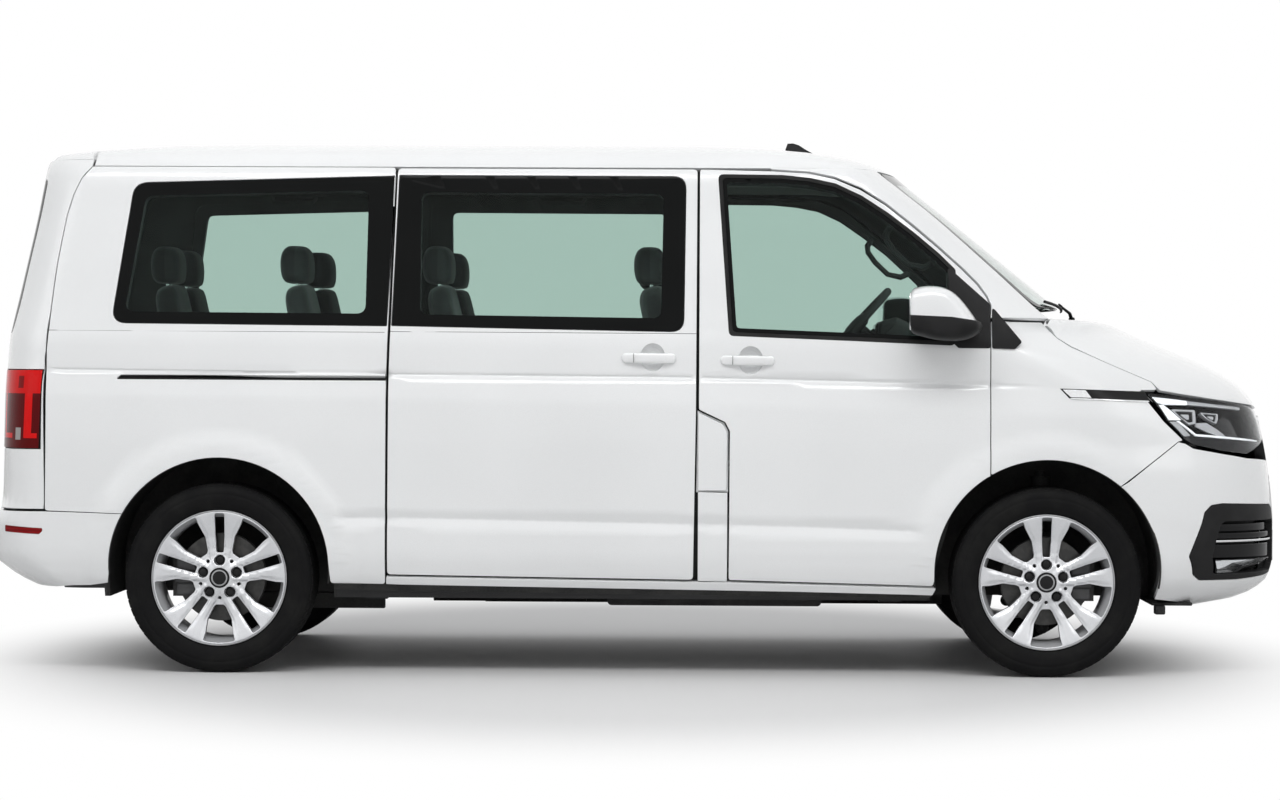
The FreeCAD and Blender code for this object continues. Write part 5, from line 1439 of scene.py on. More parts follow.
f = Form()
for (y0, z0), (y1, z1) in (((640, 1330), (70, 1362)), ((0, 1330), (-590, 1360))):
    for off, r, n in ((9, 4.5, 8), (4.5, 2.6, 6)):
        f.tube([on_screen(y0 + (y1 - y0) * t, z0 + (z1 - z0) * t, off) for t in np.linspace(0, 1, 14)], r, n)
    x, y = on_screen(y0 - 20, 1318, 0)[0] + 30, y0 - 20
    arm = [(x, y, 1306), (x - 12, y0 - 60, 1330)]
    arm += [on_screen(y0 + (y1 - y0) * t, z0 + (z1 - z0) * t + 3, 17) for t in (0.22, 0.36, 0.5)]
    f.tube(arm, [8, 7, 6, 5, 4], 10, flat=0.7)
    f.lathe([(0.01, 20), (10, 19), (12, 14), (12, 0)], (x, y, 1296), "z", 20)
place(f, "wiper_arms", "black", nodes="wipers", crease=45)
pts, ys = [], np.linspace(-800, 800, 41)
x_back = np.interp(abs(ys), [0, 400, 700, 800], [3176, 3118, 3016, 2962]) - 22
x_front = np.interp(abs(ys), [0, 240, 500, 720, 800], [3172, 3153, 3095, 3016, 2988]) + 14
for share, z in ((0.0, 1302.0), (0.34, 1296.0), (0.67, 1294.0), (1.0, 1298.0)):
    pts += list(zip(x_back + (x_front - x_back) * share, ys, z - 0.00002 * ys * ys))
place(Form().add(pts, grid_faces(4, len(ys), closed=False, side=-1)), "cowl_cover", "black")

# dark channel behind the shut line between side and tailgate
CHANNEL = ([(x - 18, z - 7) for x, z in REAR_EDGE] + [(-649, 590), (-613, 590)]
           + [(x + 18, z - 7) for x, z in REAR_EDGE[::-1]])
f = panel(Form(), AW, on_side(CHANNEL), depth=4.0, turn=0.8, lift=30.0, edge=NO_INNER)
pair(f, "rear_shut_channel", "seal")

# seam of the upper body side, below the windows
f = Form()
for x0, x1 in ((-628, 598), (618, 1728)):
    strip(f, AW, side_high(x0, 1241), side_high(x1, 1238), 2.2, -0.15, 1.0, n=40, turn=0.3)
pair(f, "waist_seam", "line")


# ------------------------------------------------------------------ headlamps, grille, intakes
def nose_or_side(p):
    """A belt point from x, z on the side, or from y, z on the nose where the first number is below 1000."""
    return side_pt(*p) if p[0] > 1000 else nose_pt(*p)


LAMP = [nose_or_side(p) for p in ((3352, 1034), (3440, 1026), (3600, 1008), (-640, 987), (-548, 962),
                                  (-548, 905), (-560, 862), (-640, 842), (3744, 806), (3640, 821),
                                  (3531, 842), (3500, 860), (3430, 930))]


def shrink(loop, d):
    """Offset a belt loop inwards by d mm."""
    return in_mm(lambda q: grow(q, -d), loop)


def front_loop(pts, soft=4.0):
    """Rounded loop on the front corner from x, z pairs; past x 3742 it runs on round the nose."""
    return rounded([side_pt(x, z) if x < 3742 else nose_pt(-640 + (x - 3742) * 1.45, z) for x, z in pts],
                   soft)


def rounded(loop, soft):
    return in_mm(lambda q: spread(soften(q, soft), 15, 15), loop)


def bit(form, pts, lift, depth, m=0, holes=(), soft=4.0):
    panel(form, LW, front_loop(pts, soft), [front_loop(h, 3.0) for h in holes], depth=depth, turn=1.2,
          lift=lift, step=(40, 24), mats=(m, m), edge=9.0)


LAMP_IN = [(3368, 1030), (3741, 986), (3757, 970), (3786, 875), (3785, 846), (3555, 872), (3498, 874),
           (3439, 933)]
LAMP_TOP = [(3365, 1027), (3516, 1013), (3520, 994), (3427, 995), (3388, 1007)]
LAMP_TOP2 = [(3516, 1013), (3740, 984), (3738, 974), (3520, 994)]
LAMP_SIDE = [(3400, 994), (3427, 995), (3495, 936), (3447, 936)]
LAMP_FOOT = [(3447, 932), (3478, 932), (3532, 879), (3498, 876)]
LAMP_LINE = [(3485, 933), (3550, 885), (3783, 856), (3782, 847), (3547, 877), (3473, 933)]
LAMP_ONE = [(3458, 981), (3554, 979), (3555, 925), (3529, 920), (3485, 954)]
LAMP_TWO = [(3575, 972), (3654, 967), (3652, 942), (3644, 925), (3602, 947)]
LAMP_WING = [(3559, 928), (3602, 930), (3640, 908), (3687, 875), (3640, 881), (3594, 897), (3555, 915)]


def lamp_pieces():
    cover, dark, house, units, drl = (Form() for _ in range(5))
    loop = rounded(wound(LAMP), 6)
    panel(cover, LW, shrink(loop, 3.0), depth=3.2, turn=1.2, lift=-0.5, step=(26, 18), edge=8.0)
    panel(dark, LW, shrink(loop, 4.0), [front_loop(LAMP_IN, 8.0)], depth=10.0, turn=0.8, lift=4.2,
          edge=NO_INNER)
    panel(house, LW, shrink(loop, 5.0), depth=3.0, turn=0.8, lift=64.0, step=(40, 24), edge=12.0)
    wall = np.array(shrink(loop, 8.0))
    a, n = LW.pt(*wall.T), LW.normal(*wall.T)
    house.ring(a - n * 66.0, a - n * 10.0)
    for pts, lift in ((LAMP_ONE, 24.0), (LAMP_TWO, 30.0)):
        bit(units, pts, lift, 16.0, 1, [scaled(pts, 0.74)])
        bit(units, scaled(pts, 0.8), lift + 7.0, 3.0)
        bit(units, scaled(pts, 0.36), lift + 2.0, 6.0, 1, soft=3.0)
    bit(units, LAMP_WING, 28.0, 6.0, 1)
    for pts, lift, m in ((LAMP_TOP, 14.0, 0), (LAMP_TOP2, 14.0, 1), (LAMP_SIDE, 16.0, 0),
                         (LAMP_FOOT, 20.0, 1), (LAMP_LINE, 15.0, 0)):
        bit(drl, pts, lift, 6.0, m, soft=3.0)
    return cover, dark, house, units, drl


for form, name, finish in zip(lamp_pieces(), ("cover", "surround", "housing", "units", "light_guides"),
                              ("lamp_cover", "black_gloss", "black_gloss", "black_gloss rim_silver",
                               "lamp_white rim_silver")):
    first = name == "cover"
    pair(form, "headlamp_" + name, finish, nodes="headlamps" if first else "",
         slot="lamp_lens" if first else None)


def on_low(pts, *steps):
    return spread([side_pt(x, z) for x, z in pts], *steps)


# blade on the fender beside the hood: dark body, blank bright plate at its tail, thin bright foot
f = panel(Form(), LW, on_low([(3372, 1000), (3352, 1036), (3042, 1046), (3076, 1010)], 0.03, 30), depth=6.0,
          turn=2.0, lift=-2.2, step=(40, 10), edge=7.0)
b = panel(Form(), LW, on_low([(3156, 1012), (3134, 1040), (3051, 1042), (3081, 1014)], 0.03, 30), depth=4.0,
          turn=1.2, lift=-3.8, edge=NO_INNER)
strip(b, LW, side_pt(3080, 1009), side_pt(3366, 1000), 5.0, -4.0, 5.0, n=30, turn=1.4)
pair(f, "fender_blade", "black_gloss")
pair(b, "fender_blade_trim", "chrome")

# grille: honeycomb back plate, bright slats, blank round badge plate
outer, inner = (spread([nose_pt(s * y, z) for s, y, z in ring], 0.05, 30) for ring in (
    ((-1, 538, 706), (1, 538, 706), (1, 540, 905), (1, 500, 944), (-1, 500, 944), (-1, 540, 905)),
    ((-1, 518, 722), (1, 518, 722), (1, 520, 900), (1, 492, 926), (-1, 492, 926), (-1, 520, 900))))
f = panel(Form(), LW, outer, depth=3.0, turn=1.0, lift=36.0, step=(60, 40), edge=12.0)
panel(f, LW, outer, [inner], depth=34.0, turn=2.0, lift=0.5, edge=NO_INNER)
place(f, "grille_frame", "black_gloss", nodes="grille", slot="black_plastic")
mesh, ang = Form(), np.radians(np.arange(6) * 60.0 + 30.0)[:, None]
for row in range(9):
    z = 734 + row * 21.0
    for y in (k * 29.0 + (14.5 if row % 2 else 0.0) for k in range(-17, 18)):
        if abs(y) > 500:
            continue
        a = nose_pt(y, z)
        c, nn = LW.pt(*a), LW.normal(*a)
        u = unit(np.array([-nn[1], nn[0], 0.0]))
        way = np.cos(ang) * u + np.sin(ang) * np.cross(nn, u) * 0.84
        rings = [c - nn * deep + r * way for deep, r in ((30, 15.5), (22, 12.0), (34, 12.0))]
        mesh.add(np.concatenate(rings), grid_faces(3, 6))
place(mesh, "grille_mesh", "black", crease=20)
f = Form()
for z, w in ((932, 17), (872, 10), (816, 10), (760, 10), (714, 8)):
    y, lift = (532, 4.0) if z < 900 else (545, -2.0)
    strip(f, LW, nose_pt(-y, z), nose_pt(y, z), w, lift, 16.0, n=50, turn=3.0)
place(f, "grille_bright_slats", "chrome")
c = LW.pt(*nose_pt(0.001, 838)) - np.array([4, 0, 0])
f = Form().lathe([(0.01, 12), (40, 11), (57, 8), (60, 4), (60, -14)], c, "x", 60)
f.lathe([(63, -12), (63, 8), (66, 10), (69, 8), (70, -12)], c, "x", 60)
place(f, "grille_blank_disc", "chrome", crease=40)

# lower intakes: broad frame, slats, bright strip and a clear lamp in the lower corner
frame_f, slats, fog, bright = (Form() for _ in range(4))
INSIDE = [(3606, 374), (3602, 440), (3632, 552), (3650, 566), (3768, 566), (3787, 548), (3787, 400),
          (3765, 378)]
WEDGE = [(3616, 424), (3756, 424), (3730, 400), (3690, 378), (3624, 376)]
outer_l = spread(wound(INTAKE), 0.03, 16)
panel(frame_f, LW, shrink(outer_l, 1.5), [front_loop(INSIDE, 12.0)], depth=24.0, turn=3.0, lift=-0.8,
      edge=NO_INNER)
panel(frame_f, LW, shrink(outer_l, 3.0), depth=3.0, turn=0.8, lift=56.0, step=(50, 30), edge=12.0)
for x, z, w, lift in ((3636, 542, 30, 22), (3622, 513, 20, 12), (3606, 456, 50, 13)):
    strip(slats, LW, side_pt(x, z), nose_pt(-574, z), w, lift, 20.0, n=26, turn=3.0)
strip(bright, LW, side_pt(3616, 494), nose_pt(-570, 494), 8.0, 5.0, 14.0, n=30, turn=2.6)
bit(fog, WEDGE, 8.0, 3.0)
bit(fog, scaled(WEDGE, 0.94), 34.0, 3.0, 2)
bit(fog, [(3618, 420), (3650, 420), (3664, 392), (3636, 384)], 22.0, 6.0, 2)
bit(fog, [(3616, 427), (3762, 427), (3736, 394), (3692, 371), (3618, 371)], 6.0, 30.0, 1,
    [scaled(WEDGE, 0.97)])
pair(frame_f, "intake_frame", "black")
pair(slats, "intake_slats", "black_gloss")
pair(bright, "intake_bright_strip", "chrome")
pair(fog, "fog_lamp", "lamp_cover black_gloss mirror")
f = panel(Form(), LW, spread(wound(MIDDLE), 0.05, 18), depth=3.0, turn=0.8, lift=50.0, step=(60, 30),
          edge=12.0)
for z in (396, 424, 452, 480, 508):
    strip(f, LW, nose_pt(-508, z), nose_pt(508, z), 9.0, 18.0, 24.0, n=40, turn=2.0)
place(f, "middle_intake_slats", "black")
f = Form().block((3908, -262, 392), (3921, 262, 512), 4, 3)
for s in (-1, 1):
    f.lathe([(0.01, 3), (5, 2.6), (6.5, 0), (6.5, -3)], (3921, s * 150, 452), "x", 16)
place(f, "front_plate_holder", "black", nodes="plate_holder", slot="black_plastic", weld=True)

# corner pieces between the mirror, the window and the screen post
for name, loop, body in (("mirror_corner", [(2637, 1487), (2792, 1349), (2792, 1190), (2676, 1190),
                                            (2648, 1216)], "door_{}"),
                         ("post_corner", [(2797, 1344), (2906, 1213), (2880, 1188), (2797, 1189)], "body")):
    pair(panel(Form(), AW, on_side(soften(loop, 9)), depth=5.0, turn=1.6, lift=-3.0, edge=12.0), name,
         "black", body)

# black lower edge under the sills
f = panel(Form(), AW, on_side([(414, 327), (414, 288), (2586, 268), (2586, 294)]), depth=30.0, turn=2.5,
          lift=26.0, step=(80, 24), edge=12.0)
pair(f, "sill_under_edge", "under")

# wheel arch lips
for name, (x, z, r), end in (("front", ARCH_F, 188), ("rear", ARCH_R, 184)):
    a = np.array([(px, 4 - float(side_w(px, max(pz, 300))), pz)
                  for px, pz in arc((x, z, r - 2), -8, end, 69)])
    out = a + (a - np.array([x, 0, z])) * np.array([0.012, 0, 0.012])
    rows, m = [a, a + np.array([0, 26.0, 0]), out + np.array([0, 26, 0]), out + np.array([0, 1, 0])], len(a)
    faces = [(i * m + j, i * m + j + 1, ((i + 1) % 4) * m + j + 1, ((i + 1) % 4) * m + j) for i in range(4)
             for j in range(m - 1)]
    faces += [(0, m, 2 * m, 3 * m), tuple(k * m + m - 1 for k in (3, 2, 1, 0))]
    pair(Form().add(np.concatenate(rows), faces), name + "_arch_lip", "under")

# dark lip and deflectors under the front bumper
f = Form().block((3390, -830, 256), (3540, 830, 268), 5, 3)
for y in (-820, 820):
    f.block((3402, y - 24, 224), (3440, y + 24, 258), 6, 3)
place(f, "front_under_lip", "under", weld=True)


# ------------------------------------------------------------------ seats
def loft(rows, lean=(1.0, 0.0), n=36, p=3.0):
    """Closed form from rounded sections: rows of (x, z, half thickness, half width)."""
    t = 2 * np.pi * np.arange(n) / n
    a, b = (np.sign(c) * abs(c) ** (2 / p) for c in (np.cos(t), np.sin(t)))
    pts = [np.stack([x + lean[0] * h * a, w * b, z + lean[1] * h * a], -1) for x, z, h, w in rows]
    return Form().add(np.concatenate(pts), grid_faces(len(rows), n) + caps(len(rows), n))


def filled(form, sewn, cap, mats, cell=15.0):
    """Swell a closed pad between its sewn lines, then smooth it; mats picks the cloth for each face."""
    scene = bpy.context.scene
    me = bpy.data.meshes.new("pad")
    me.from_pydata((np.concatenate(form.v) / 1000.0).tolist(), [], form.f)
    ob = bpy.data.objects.new("pad", me)
    scene.collection.objects.link(ob)

    def settle():
        old = ob.data
        ob.data = bpy.data.meshes.new_from_object(ob.evaluated_get(bpy.context.evaluated_depsgraph_get()))
        ob.modifiers.clear()
        bpy.data.meshes.remove(old)
    grid = ob.modifiers.new("grid", "REMESH")
    grid.mode, grid.voxel_size = "VOXEL", cell / 1000.0
    settle()
    rest = mesh_points(ob.data)
    group = ob.vertex_groups.new(name="sewn")
    group.add([i for i, c in enumerate(rest * 1000.0) if sewn(*c)], 1.0, "REPLACE")
    cloth = ob.modifiers.new("fill", "CLOTH")
    s = cloth.settings
    s.use_pressure, s.uniform_pressure_force, s.vertex_group_mass = True, 4.0, "sewn"
    s.quality, s.mass, s.bending_stiffness = 4, 0.3, 0.8
    s.tension_stiffness = s.compression_stiffness = s.shear_stiffness = 10.0
    s.effector_weights.gravity = 0.0
    for step in range(1, 21):
        scene.frame_set(step)
    settle()
    go = mesh_points(ob.data) - rest
    far = np.linalg.norm(go, axis=1, keepdims=True)
    held = np.minimum(1.0, cap / 1000.0 / np.maximum(far, 1e-9))
    ob.data.vertices.foreach_set("co", (rest + go * held).ravel())
    scene.frame_set(1)
    smooth = ob.modifiers.new("smooth", "SUBSURF")
    smooth.levels = smooth.render_levels = 1
    settle()
    co, faces = mesh_points(ob.data) * 1000.0, [tuple(p.vertices) for p in ob.data.polygons]
    discard(ob)
    return Form().add(co, faces, [mats(*co[list(q)].mean(0)) for q in faces])


LEAN = (0.962, 0.272)


def seat_pads(w, length, z0):
    """Cushion, back and headrest of one seat, over the point under its headrest."""
    split, cross, side = w * 0.60, 122 + length * 0.66, w * 0.62
    cush = Form().block((130, -w + 8, z0 + 46), (122 + length - 8, w - 8, 734), 38, 4)

    def seam(x, y, z):
        return z < z0 + 90 or (z > 700 and (abs(abs(y) - split) < 9 or abs(x - cross) < 9 and abs(y) < split))
    cush = filled(cush, seam, 24.0, lambda x, y, z: 0 if abs(y) < split and z > 690 else 1)

    def front(x, z):
        return (x - (166 - 150 * (z - 790) / 530)) > 8
    rows = [(178, 728, 40, w - 44), (181, 738, 54, w - 26), (170, 775, 57, w - 20)]
    rows += [(166 - 150 * t, 790 + 530 * t, 56 - 2 * t, w - 20 - 20 * t ** 2)
             for t in (k / 8 for k in range(9))]
    rows += [(6, 1370, 54, w - 42), (2, 1400, 48, w - 54), (-2, 1414, 34, w - 84)]
    back = filled(loft(rows, LEAN), lambda x, y, z: (not front(x, z) and abs(y) < w - 60)
                  or abs(abs(y) - side) < 9
                  or (abs(z - 1130) < 9 and abs(y) < side), 24.0,
                  lambda x, y, z: 0 if abs(y) < side and front(x, z) else 1)
    rows = [(-2, 1424, 34, 92), (-3, 1430, 48, 110), (-5, 1448, 57, 122), (-7, 1490, 60, 128),
            (-8, 1528, 57, 125), (-8, 1552, 47, 113), (-8, 1564, 30, 92)]
    head = filled(loft(rows, (1, 0), 32, 3.6), lambda x, y, z: z < 1440 or abs(x + 6) < 7, 10.0,
                  lambda x, y, z: 0 if x > -6 else 1, 11.0)
    return cush, back, head


def seat_frame(w, length, z0, base, by0, by1):
    f = Form().block((150, -w + 14, z0 + 4), (122 + length - 24, w - 14, z0 + 62), 20, 3)
    f.block((200, by0, base + 1), (200 + 0.55 * length, by1, z0 + 12), 18, 3)
    f.block((230, by0 - 6, base + 1), (212 + 0.5 * length, by1 + 6, base + 26), 5, 2)
    hub = [(0.01, 8), (34, 7), (38, 2), (38, -6)]
    for s in (-1, 1):
        f.tube([(0, s * 60, 1370), (-2, s * 60, 1445)], 6.0, 12, 1)
        f.block((-14, s * 60 - 14, 1384), (12, s * 60 + 14, 1400), 4, 2)
        f.lathe(hub if s > 0 else [(r, -y) for r, y in hub[::-1]], (190, s * (w - 14), 742), n=28)
    return f


kinds = {"front_seats": seat_pads(245, 500, 560), "rear_seats": seat_pads(220, 400, 625)}
SEAT_ROWS = [("front_seats", 1560, 430, 245, 500, 560, 362), ("rear_seats", 765, 410, 225, 405, 620, 362),
             ("rear_seats", 230, 400, 220, 400, 625, 362), ("rear_seats", -280, 248, 220, 400, 625, 418)]
for row, (node, hx, my, w, length, z0, base) in enumerate(SEAT_ROWS):
    for tag, s in SIDES[::-1]:
        name = "seat_row_%d_%s" % (row + 1, tag)
        for part, pad in zip(("cushion", "back", "headrest"), kinds[node]):
            first = part == "cushion"
            ob = place(moved(pad, (hx, s * my, 0)), name + "_" + part, "cloth cloth_side",
                       nodes=node if first and tag == "right" and row in (0, 1) else "",
                       slot="seat_cloth" if first else None, crease=180)
        by0, by1 = sorted((s * (max(my - 170, 90) - my), s * (min(my + 170, 466) - my)))
        place(moved(seat_frame(w, length, z0, base, by0, by1), (hx, s * my, 0)), name + "_frame",
              "trim chrome", weld=True)


# ------------------------------------------------------------------ dashboard and steering wheel
def slab(f, profile, y0, y1, r=10.0, soft=20, cuts=4):
    """A rounded side profile (x, z) carried across the cab with rounded ends."""
    loop = wound(soften(profile, soft, cuts))
    ins = [(r * (1 - math.sin(a)), r * (1 - math.cos(a))) for a in np.linspace(0, math.pi / 2, 4)]
    rows = [(y0 + b, grow(loop, -a)) for a, b in ins] + [(y1 - b, grow(loop, -a)) for a, b in ins[::-1]]
    rings = [np.array([(x, y, z) for x, z in q]) for y, q in rows]
    for a, b in zip(rings, rings[1:]):
        f.ring(a, b)
    k = len(loop)
    return f.add(rings[0], [tuple(range(k))]).add(rings[-1], [tuple(range(k))[::-1]])


dash = slab(Form(), [(2886, 816), (2886, 1220), (2770, 1243), (2560, 1243), (2484, 1192), (2502, 1062),
                     (2604, 884), (2644, 816)], -816, 816, 14, 26)
slab(dash, [(2444, 1236), (2452, 1298), (2520, 1318), (2640, 1262), (2640, 1204), (2500, 1184)], 292, 568,
     24, 16)
slab(dash, [(2700, 834), (2604, 902), (2484, 1000), (2444, 962), (2464, 700), (2484, 364), (2700, 364)],
     -148, 148, 20, 22)
place(dash, "dashboard_body", "trim", nodes="dashboard", slot="dark_trim", weld=True)
f = slab(Form(), [(2478, 1166), (2487, 1088), (2500, 1090), (2491, 1170)], -130, 130, 4, 3, 2)
slab(f, [(2434, 1246), (2442, 1290), (2452, 1290), (2446, 1244)], 318, 542, 4, 3, 2)
for y in (-742, -196, 196, 742):
    f.block((2474, y - 62, 1108), (2500, y + 62, 1172), 10, 3, 1, (0, 6, 0))
    for k in range(5):
        f.block((2468, y - 54, 1117 + 11 * k), (2482, y + 54, 1120 + 11 * k), 1.2, 1, 1, (0, 18, 0))
for k in range(3):
    f.lathe([(22, 0), (22, -12), (18, -16), (0.01, -16)], (2485, -62 + 62 * k, 1050), "x", 24, 2)
for k in range(6):
    f.block((2492, -112 + 38 * k, 1008), (2508, -80 + 38 * k, 1030), 3, 2, 1, (0, 30, 0))
f.block((2520, -620, 900), (2606, -260, 1040), 14, 3, 1, (0, 30, 0))
f.tube([(2470, 20, 960), (2440, 22, 1010), (2425, 24, 1058)], [11, 8, 8], 14, 1)
f.lathe([(0.01, 34), (14, 32), (22, 20), (20, 4), (9, -6), (8, -12)], (2422, 24, 1062), "z", 24, 1)
place(f, "dashboard_fittings", "black_gloss black chrome", weld=True)

TILT = math.radians(47.5)
E1, AX = np.array([math.cos(TILT), 0, math.sin(TILT)]), np.array([-math.sin(TILT), 0, math.cos(TILT)])


def on_wheel(form, centre=(2365.0, 430.0, 1283.0)):
    """Carry a form made flat (x forward and up, y left, z to the driver) to the steering wheel."""
    for i, v in enumerate(form.v):
        form.v[i] = np.array(centre) + v[:, :1] * E1 + v[:, 1:2] * np.array([0, 1.0, 0]) + v[:, 2:] * AX
    return form


rim = [(188 + 14.6 * math.cos(t), 14.6 * math.sin(t)) for t in np.linspace(0, 2 * math.pi, 19)]
f = Form().lathe(rim, axis="z", n=72)
for s in (1, -1):
    f.tube([(0, 66 * s, -8), (-2, 123 * s, -3), (0, 180 * s, 0)], [26, 19, 15], 20, 0, 0.5)
    f.tube([(0, 66 * s, -3), (-2, 123 * s, 4)], [15, 11], 16, 1, 0.5)
for s in (-1, 1):
    f.tube([(-50, s * 16, -6), (-110, s * 22, -2), (-176, s * 26, 0)], [14, 9, 8], 16, 1, 0.6)
f.lathe([(0.01, 24), (34, 22), (56, 15), (66, 4), (62, -16), (40, -28), (0.01, -30)], axis="z", n=48)
f.lathe([(27, -20), (27, -210), (0.01, -214)], axis="z", n=32, mat=2)
f.block((-40, -66, -150), (52, 66, -58), 26, 4, 2)
for s in (-1, 1):
    f.tube([(6, s * 60, -78), (18, s * 120, -70), (26, s * 168, -58)], [9, 7, 9], 14, 2, 0.7)
place(on_wheel(f), "steering_wheel_trim", "trim alloy black", nodes="steering_wheel", slot="dark_trim",
      weld=True)

# ------------------------------------------------------------------ cab and cabin fittings
for tag, s in SIDES[::-1]:
    f = Form()
    f.tube([(2441, s * 742, 1636), (2424, s * 722, 1612), (2426, s * 712, 1586), (2454, s * 706, 1546),
            (2506, s * 708, 1497), (2560, s * 728, 1486), (2590, s * 764, 1500)],
            [13, 12, 11, 11, 11, 12, 13], 14)
    f.block((1734, s * 800 - 14, 1380), (1786, s * 800 + 14, 1460), 8, 3)
    for x in (1180, 80):
        f.tube([(x - 90, s * 742, 1800), (x - 80, s * 716, 1782), (x + 80, s * 716, 1782),
                (x + 90, s * 742, 1800)], 9, 12)
    f.tube([(1760, s * 788, 1400), (1752, s * 790, 900), (1748, s * 792, 480)], 24, 12, flat=0.06)
    place(f, "grab_handles_and_belt_" + tag, "trim", weld=True)
    f = Form()
    f.block((1900, s * 862 - 24, 980), (2560, s * 862 + 24, 1030), 14, 3)
    f.tube([(2120, s * 838, 1030), (2150, s * 806, 1062), (2300, s * 802, 1074), (2400, s * 834, 1040)], 13,
           14)
    disc = [(0.01, 10), (70, 9), (84, 4), (86, -14)]
    f.lathe(disc if s < 0 else [(r, -y) for r, y in disc[::-1]], (2480, s * 872, 600), n=36)
    f.block((1960, s * 868 - 20, 470), (2400, s * 868 + 20, 560), 14, 3)
    place(f, "door_inner_trim_" + tag, "trim", "door_" + tag, weld=True)
f = Form()
f.block((2490, -118, 1676), (2512, 118, 1740), 10, 3, 0, (0, -12, 0))
f.tube([(2508, 0, 1724), (2540, 0, 1764), (2560, 0, 1782)], 8, 12)
for s in (-1, 1):
    f.block((2296, s * 420 - 210, 1806), (2440, s * 420 + 210, 1824), 8, 3, 0, (0, 22, 0))
place(f, "cab_mirror_and_visors", "trim", weld=True)
lining = panel(Form(), ROOF, soften([(-420, -640), (2200, -640), (2200, 640), (-420, 640)], 60), depth=6.0,
               lift=58.0, step=(110, 90), turn=2.0, edge=30.0)
place(lining, "roof_lining_sheet", "lining")

# ------------------------------------------------------------------ finishes of the pieces that stay as built
LEFT_AS_BUILT = {"floor": "carpet", "wheel_houses": "under", "front_frame": "under", "underbody": "under",
                 "engine": "iron", "front_suspension": "under", "rear_axle": "under", "bulkhead": "trim",
                 "knuckle_left": "under", "knuckle_right": "under"}
for name, finish in LEFT_AS_BUILT.items():
    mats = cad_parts[name].data.materials
    mats.clear()
    mats.append(FIN[finish])


# ------------------------------------------------------------------ studio and camera
def lamp(name, at, target, size, watts):
    data = bpy.data.lights.new(name, "AREA")
    data.shape, data.size, data.size_y, data.energy = "RECTANGLE", size[0], size[1], watts
    ob = bpy.data.objects.new(name, data)
    ob.location = at
    ob.rotation_euler = (Vector(target) - Vector(at)).to_track_quat("-Z", "Y").to_euler()
    bpy.context.scene.collection.objects.link(ob)


def studio():
    floor_me = bpy.data.meshes.new("studio_floor")
    floor_me.from_pydata([(-40, -40, 0), (40, -40, 0), (40, 40, 0), (-40, 40, 0)], [], [(0, 1, 2, 3)])
    floor = bpy.data.objects.new("studio_floor", floor_me)
    bpy.context.scene.collection.objects.link(floor)
    f = Finish("studio_floor", Roughness=0.6, Specular_IOR_Level=0.3)
    f.set(Base_Color=f.mix(f.noise(0.4, 2.0), (0.68, 0.68, 0.68), (0.70, 0.70, 0.70)))
    x, y, z = f.axes()
    far = ((x * x * 0.72 + y * y * 0.36) ** 0.5).ramp(1.45, 2.4) * f.node("ShaderNodeLightPath",
                                                                          out="Is Camera Ray")
    white = f.node("ShaderNodeEmission", (), {"Color": (1, 1, 1, 1), "Strength": 1.0})
    floor_me.materials.append(f.over(far, white))
    lamp("overhead_soft", (0.0, -1.0, 7.5), (0, 0, 0.8), (9.0, 6.0), 3.0)
    lamp("side_soft", (0.0, -6.5, 7.5), (0, 0, 0.9), (9.0, 2.5), 360.0)
    lamp("front_soft", (6.5, -7.5, 4.2), (0.8, 0, 0.8), (5.0, 3.5), 50.0)
    lamp("rear_soft", (-7.0, -6.0, 3.6), (-0.8, 0, 0.8), (5.0, 3.5), 40.0)


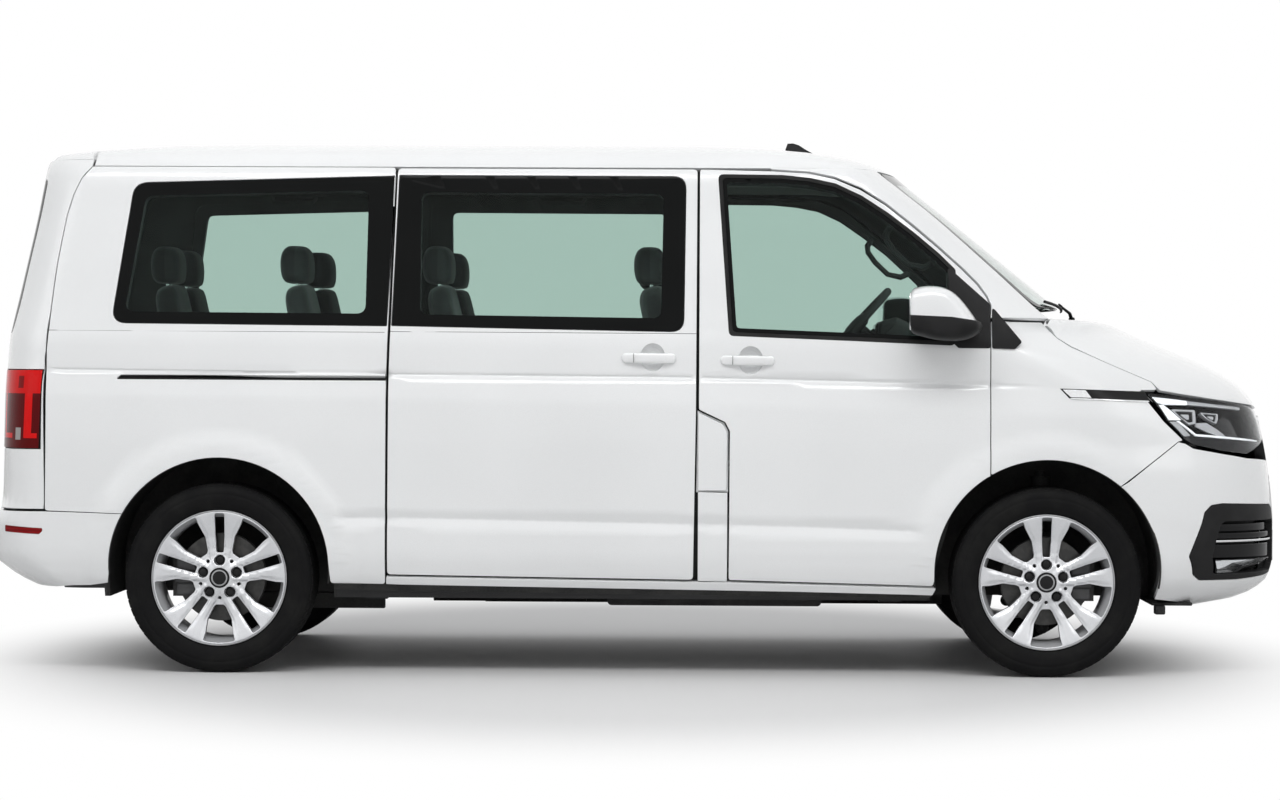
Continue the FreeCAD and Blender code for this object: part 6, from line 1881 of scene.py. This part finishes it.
def surroundings():
    """White where it is seen, mirrored or looked at through glass; as light, brighter towards the top."""
    world = bpy.data.worlds.new("studio")
    bpy.context.scene.world = world
    world.use_nodes = True
    nt = world.node_tree
    nt.nodes.clear()
    out, seen, light, where, split, rise, path, mix = (nt.nodes.new("ShaderNode" + k) for k in (
        "OutputWorld", "Background", "Background", "TexCoord", "SeparateXYZ", "MapRange", "LightPath",
        "MixShader"))
    seen.inputs[0].default_value, seen.inputs[1].default_value = (1, 1, 1, 1), 1.0
    light.inputs[0].default_value = (0.985, 0.99, 1.0, 1)
    rise.inputs["To Min"].default_value, rise.inputs["To Max"].default_value = 0.21, 0.86
    top = path.outputs["Is Camera Ray"]
    for key in ("Is Glossy Ray", "Is Transmission Ray"):
        m = nt.nodes.new("ShaderNodeMath")
        m.operation = "MAXIMUM"
        nt.links.new(top, m.inputs[0])
        nt.links.new(path.outputs[key], m.inputs[1])
        top = m.outputs[0]
    for a, b in ((where.outputs["Generated"], split.inputs[0]), (split.outputs["Z"], rise.inputs["Value"]),
                 (rise.outputs[0], light.inputs[1]), (top, mix.inputs[0]), (light.outputs[0], mix.inputs[1]),
                 (seen.outputs[0], mix.inputs[2]), (mix.outputs[0], out.inputs[0])):
        nt.links.new(a, b)


def camera():
    cam = bpy.data.cameras.new("view")
    cam.sensor_width, cam.lens = 36.0, 100.24
    cam.clip_end = 200.0
    ob = bpy.data.objects.new("view", cam)
    yaw, pitch, roll = math.radians(-0.90), math.radians(-0.59), math.radians(0.27)
    ahead = Vector((math.sin(yaw) * math.cos(pitch), math.cos(yaw) * math.cos(pitch), math.sin(pitch)))
    right = Vector((math.cos(yaw), -math.sin(yaw), 0.0))
    up = right.cross(ahead)
    c, s = math.cos(roll), math.sin(roll)
    turn = Matrix((right * c + up * s, up * c - right * s, -ahead)).transposed()
    ob.matrix_world = Matrix.Translation((0.2305, -13.832, 1.130)) @ turn.to_4x4()
    bpy.context.scene.collection.objects.link(ob)
    bpy.context.scene.camera = ob


studio()
surroundings()
camera()
scene = bpy.context.scene
scene.view_settings.view_transform = "Standard"
scene.render.resolution_x, scene.render.resolution_y = 1280, 800
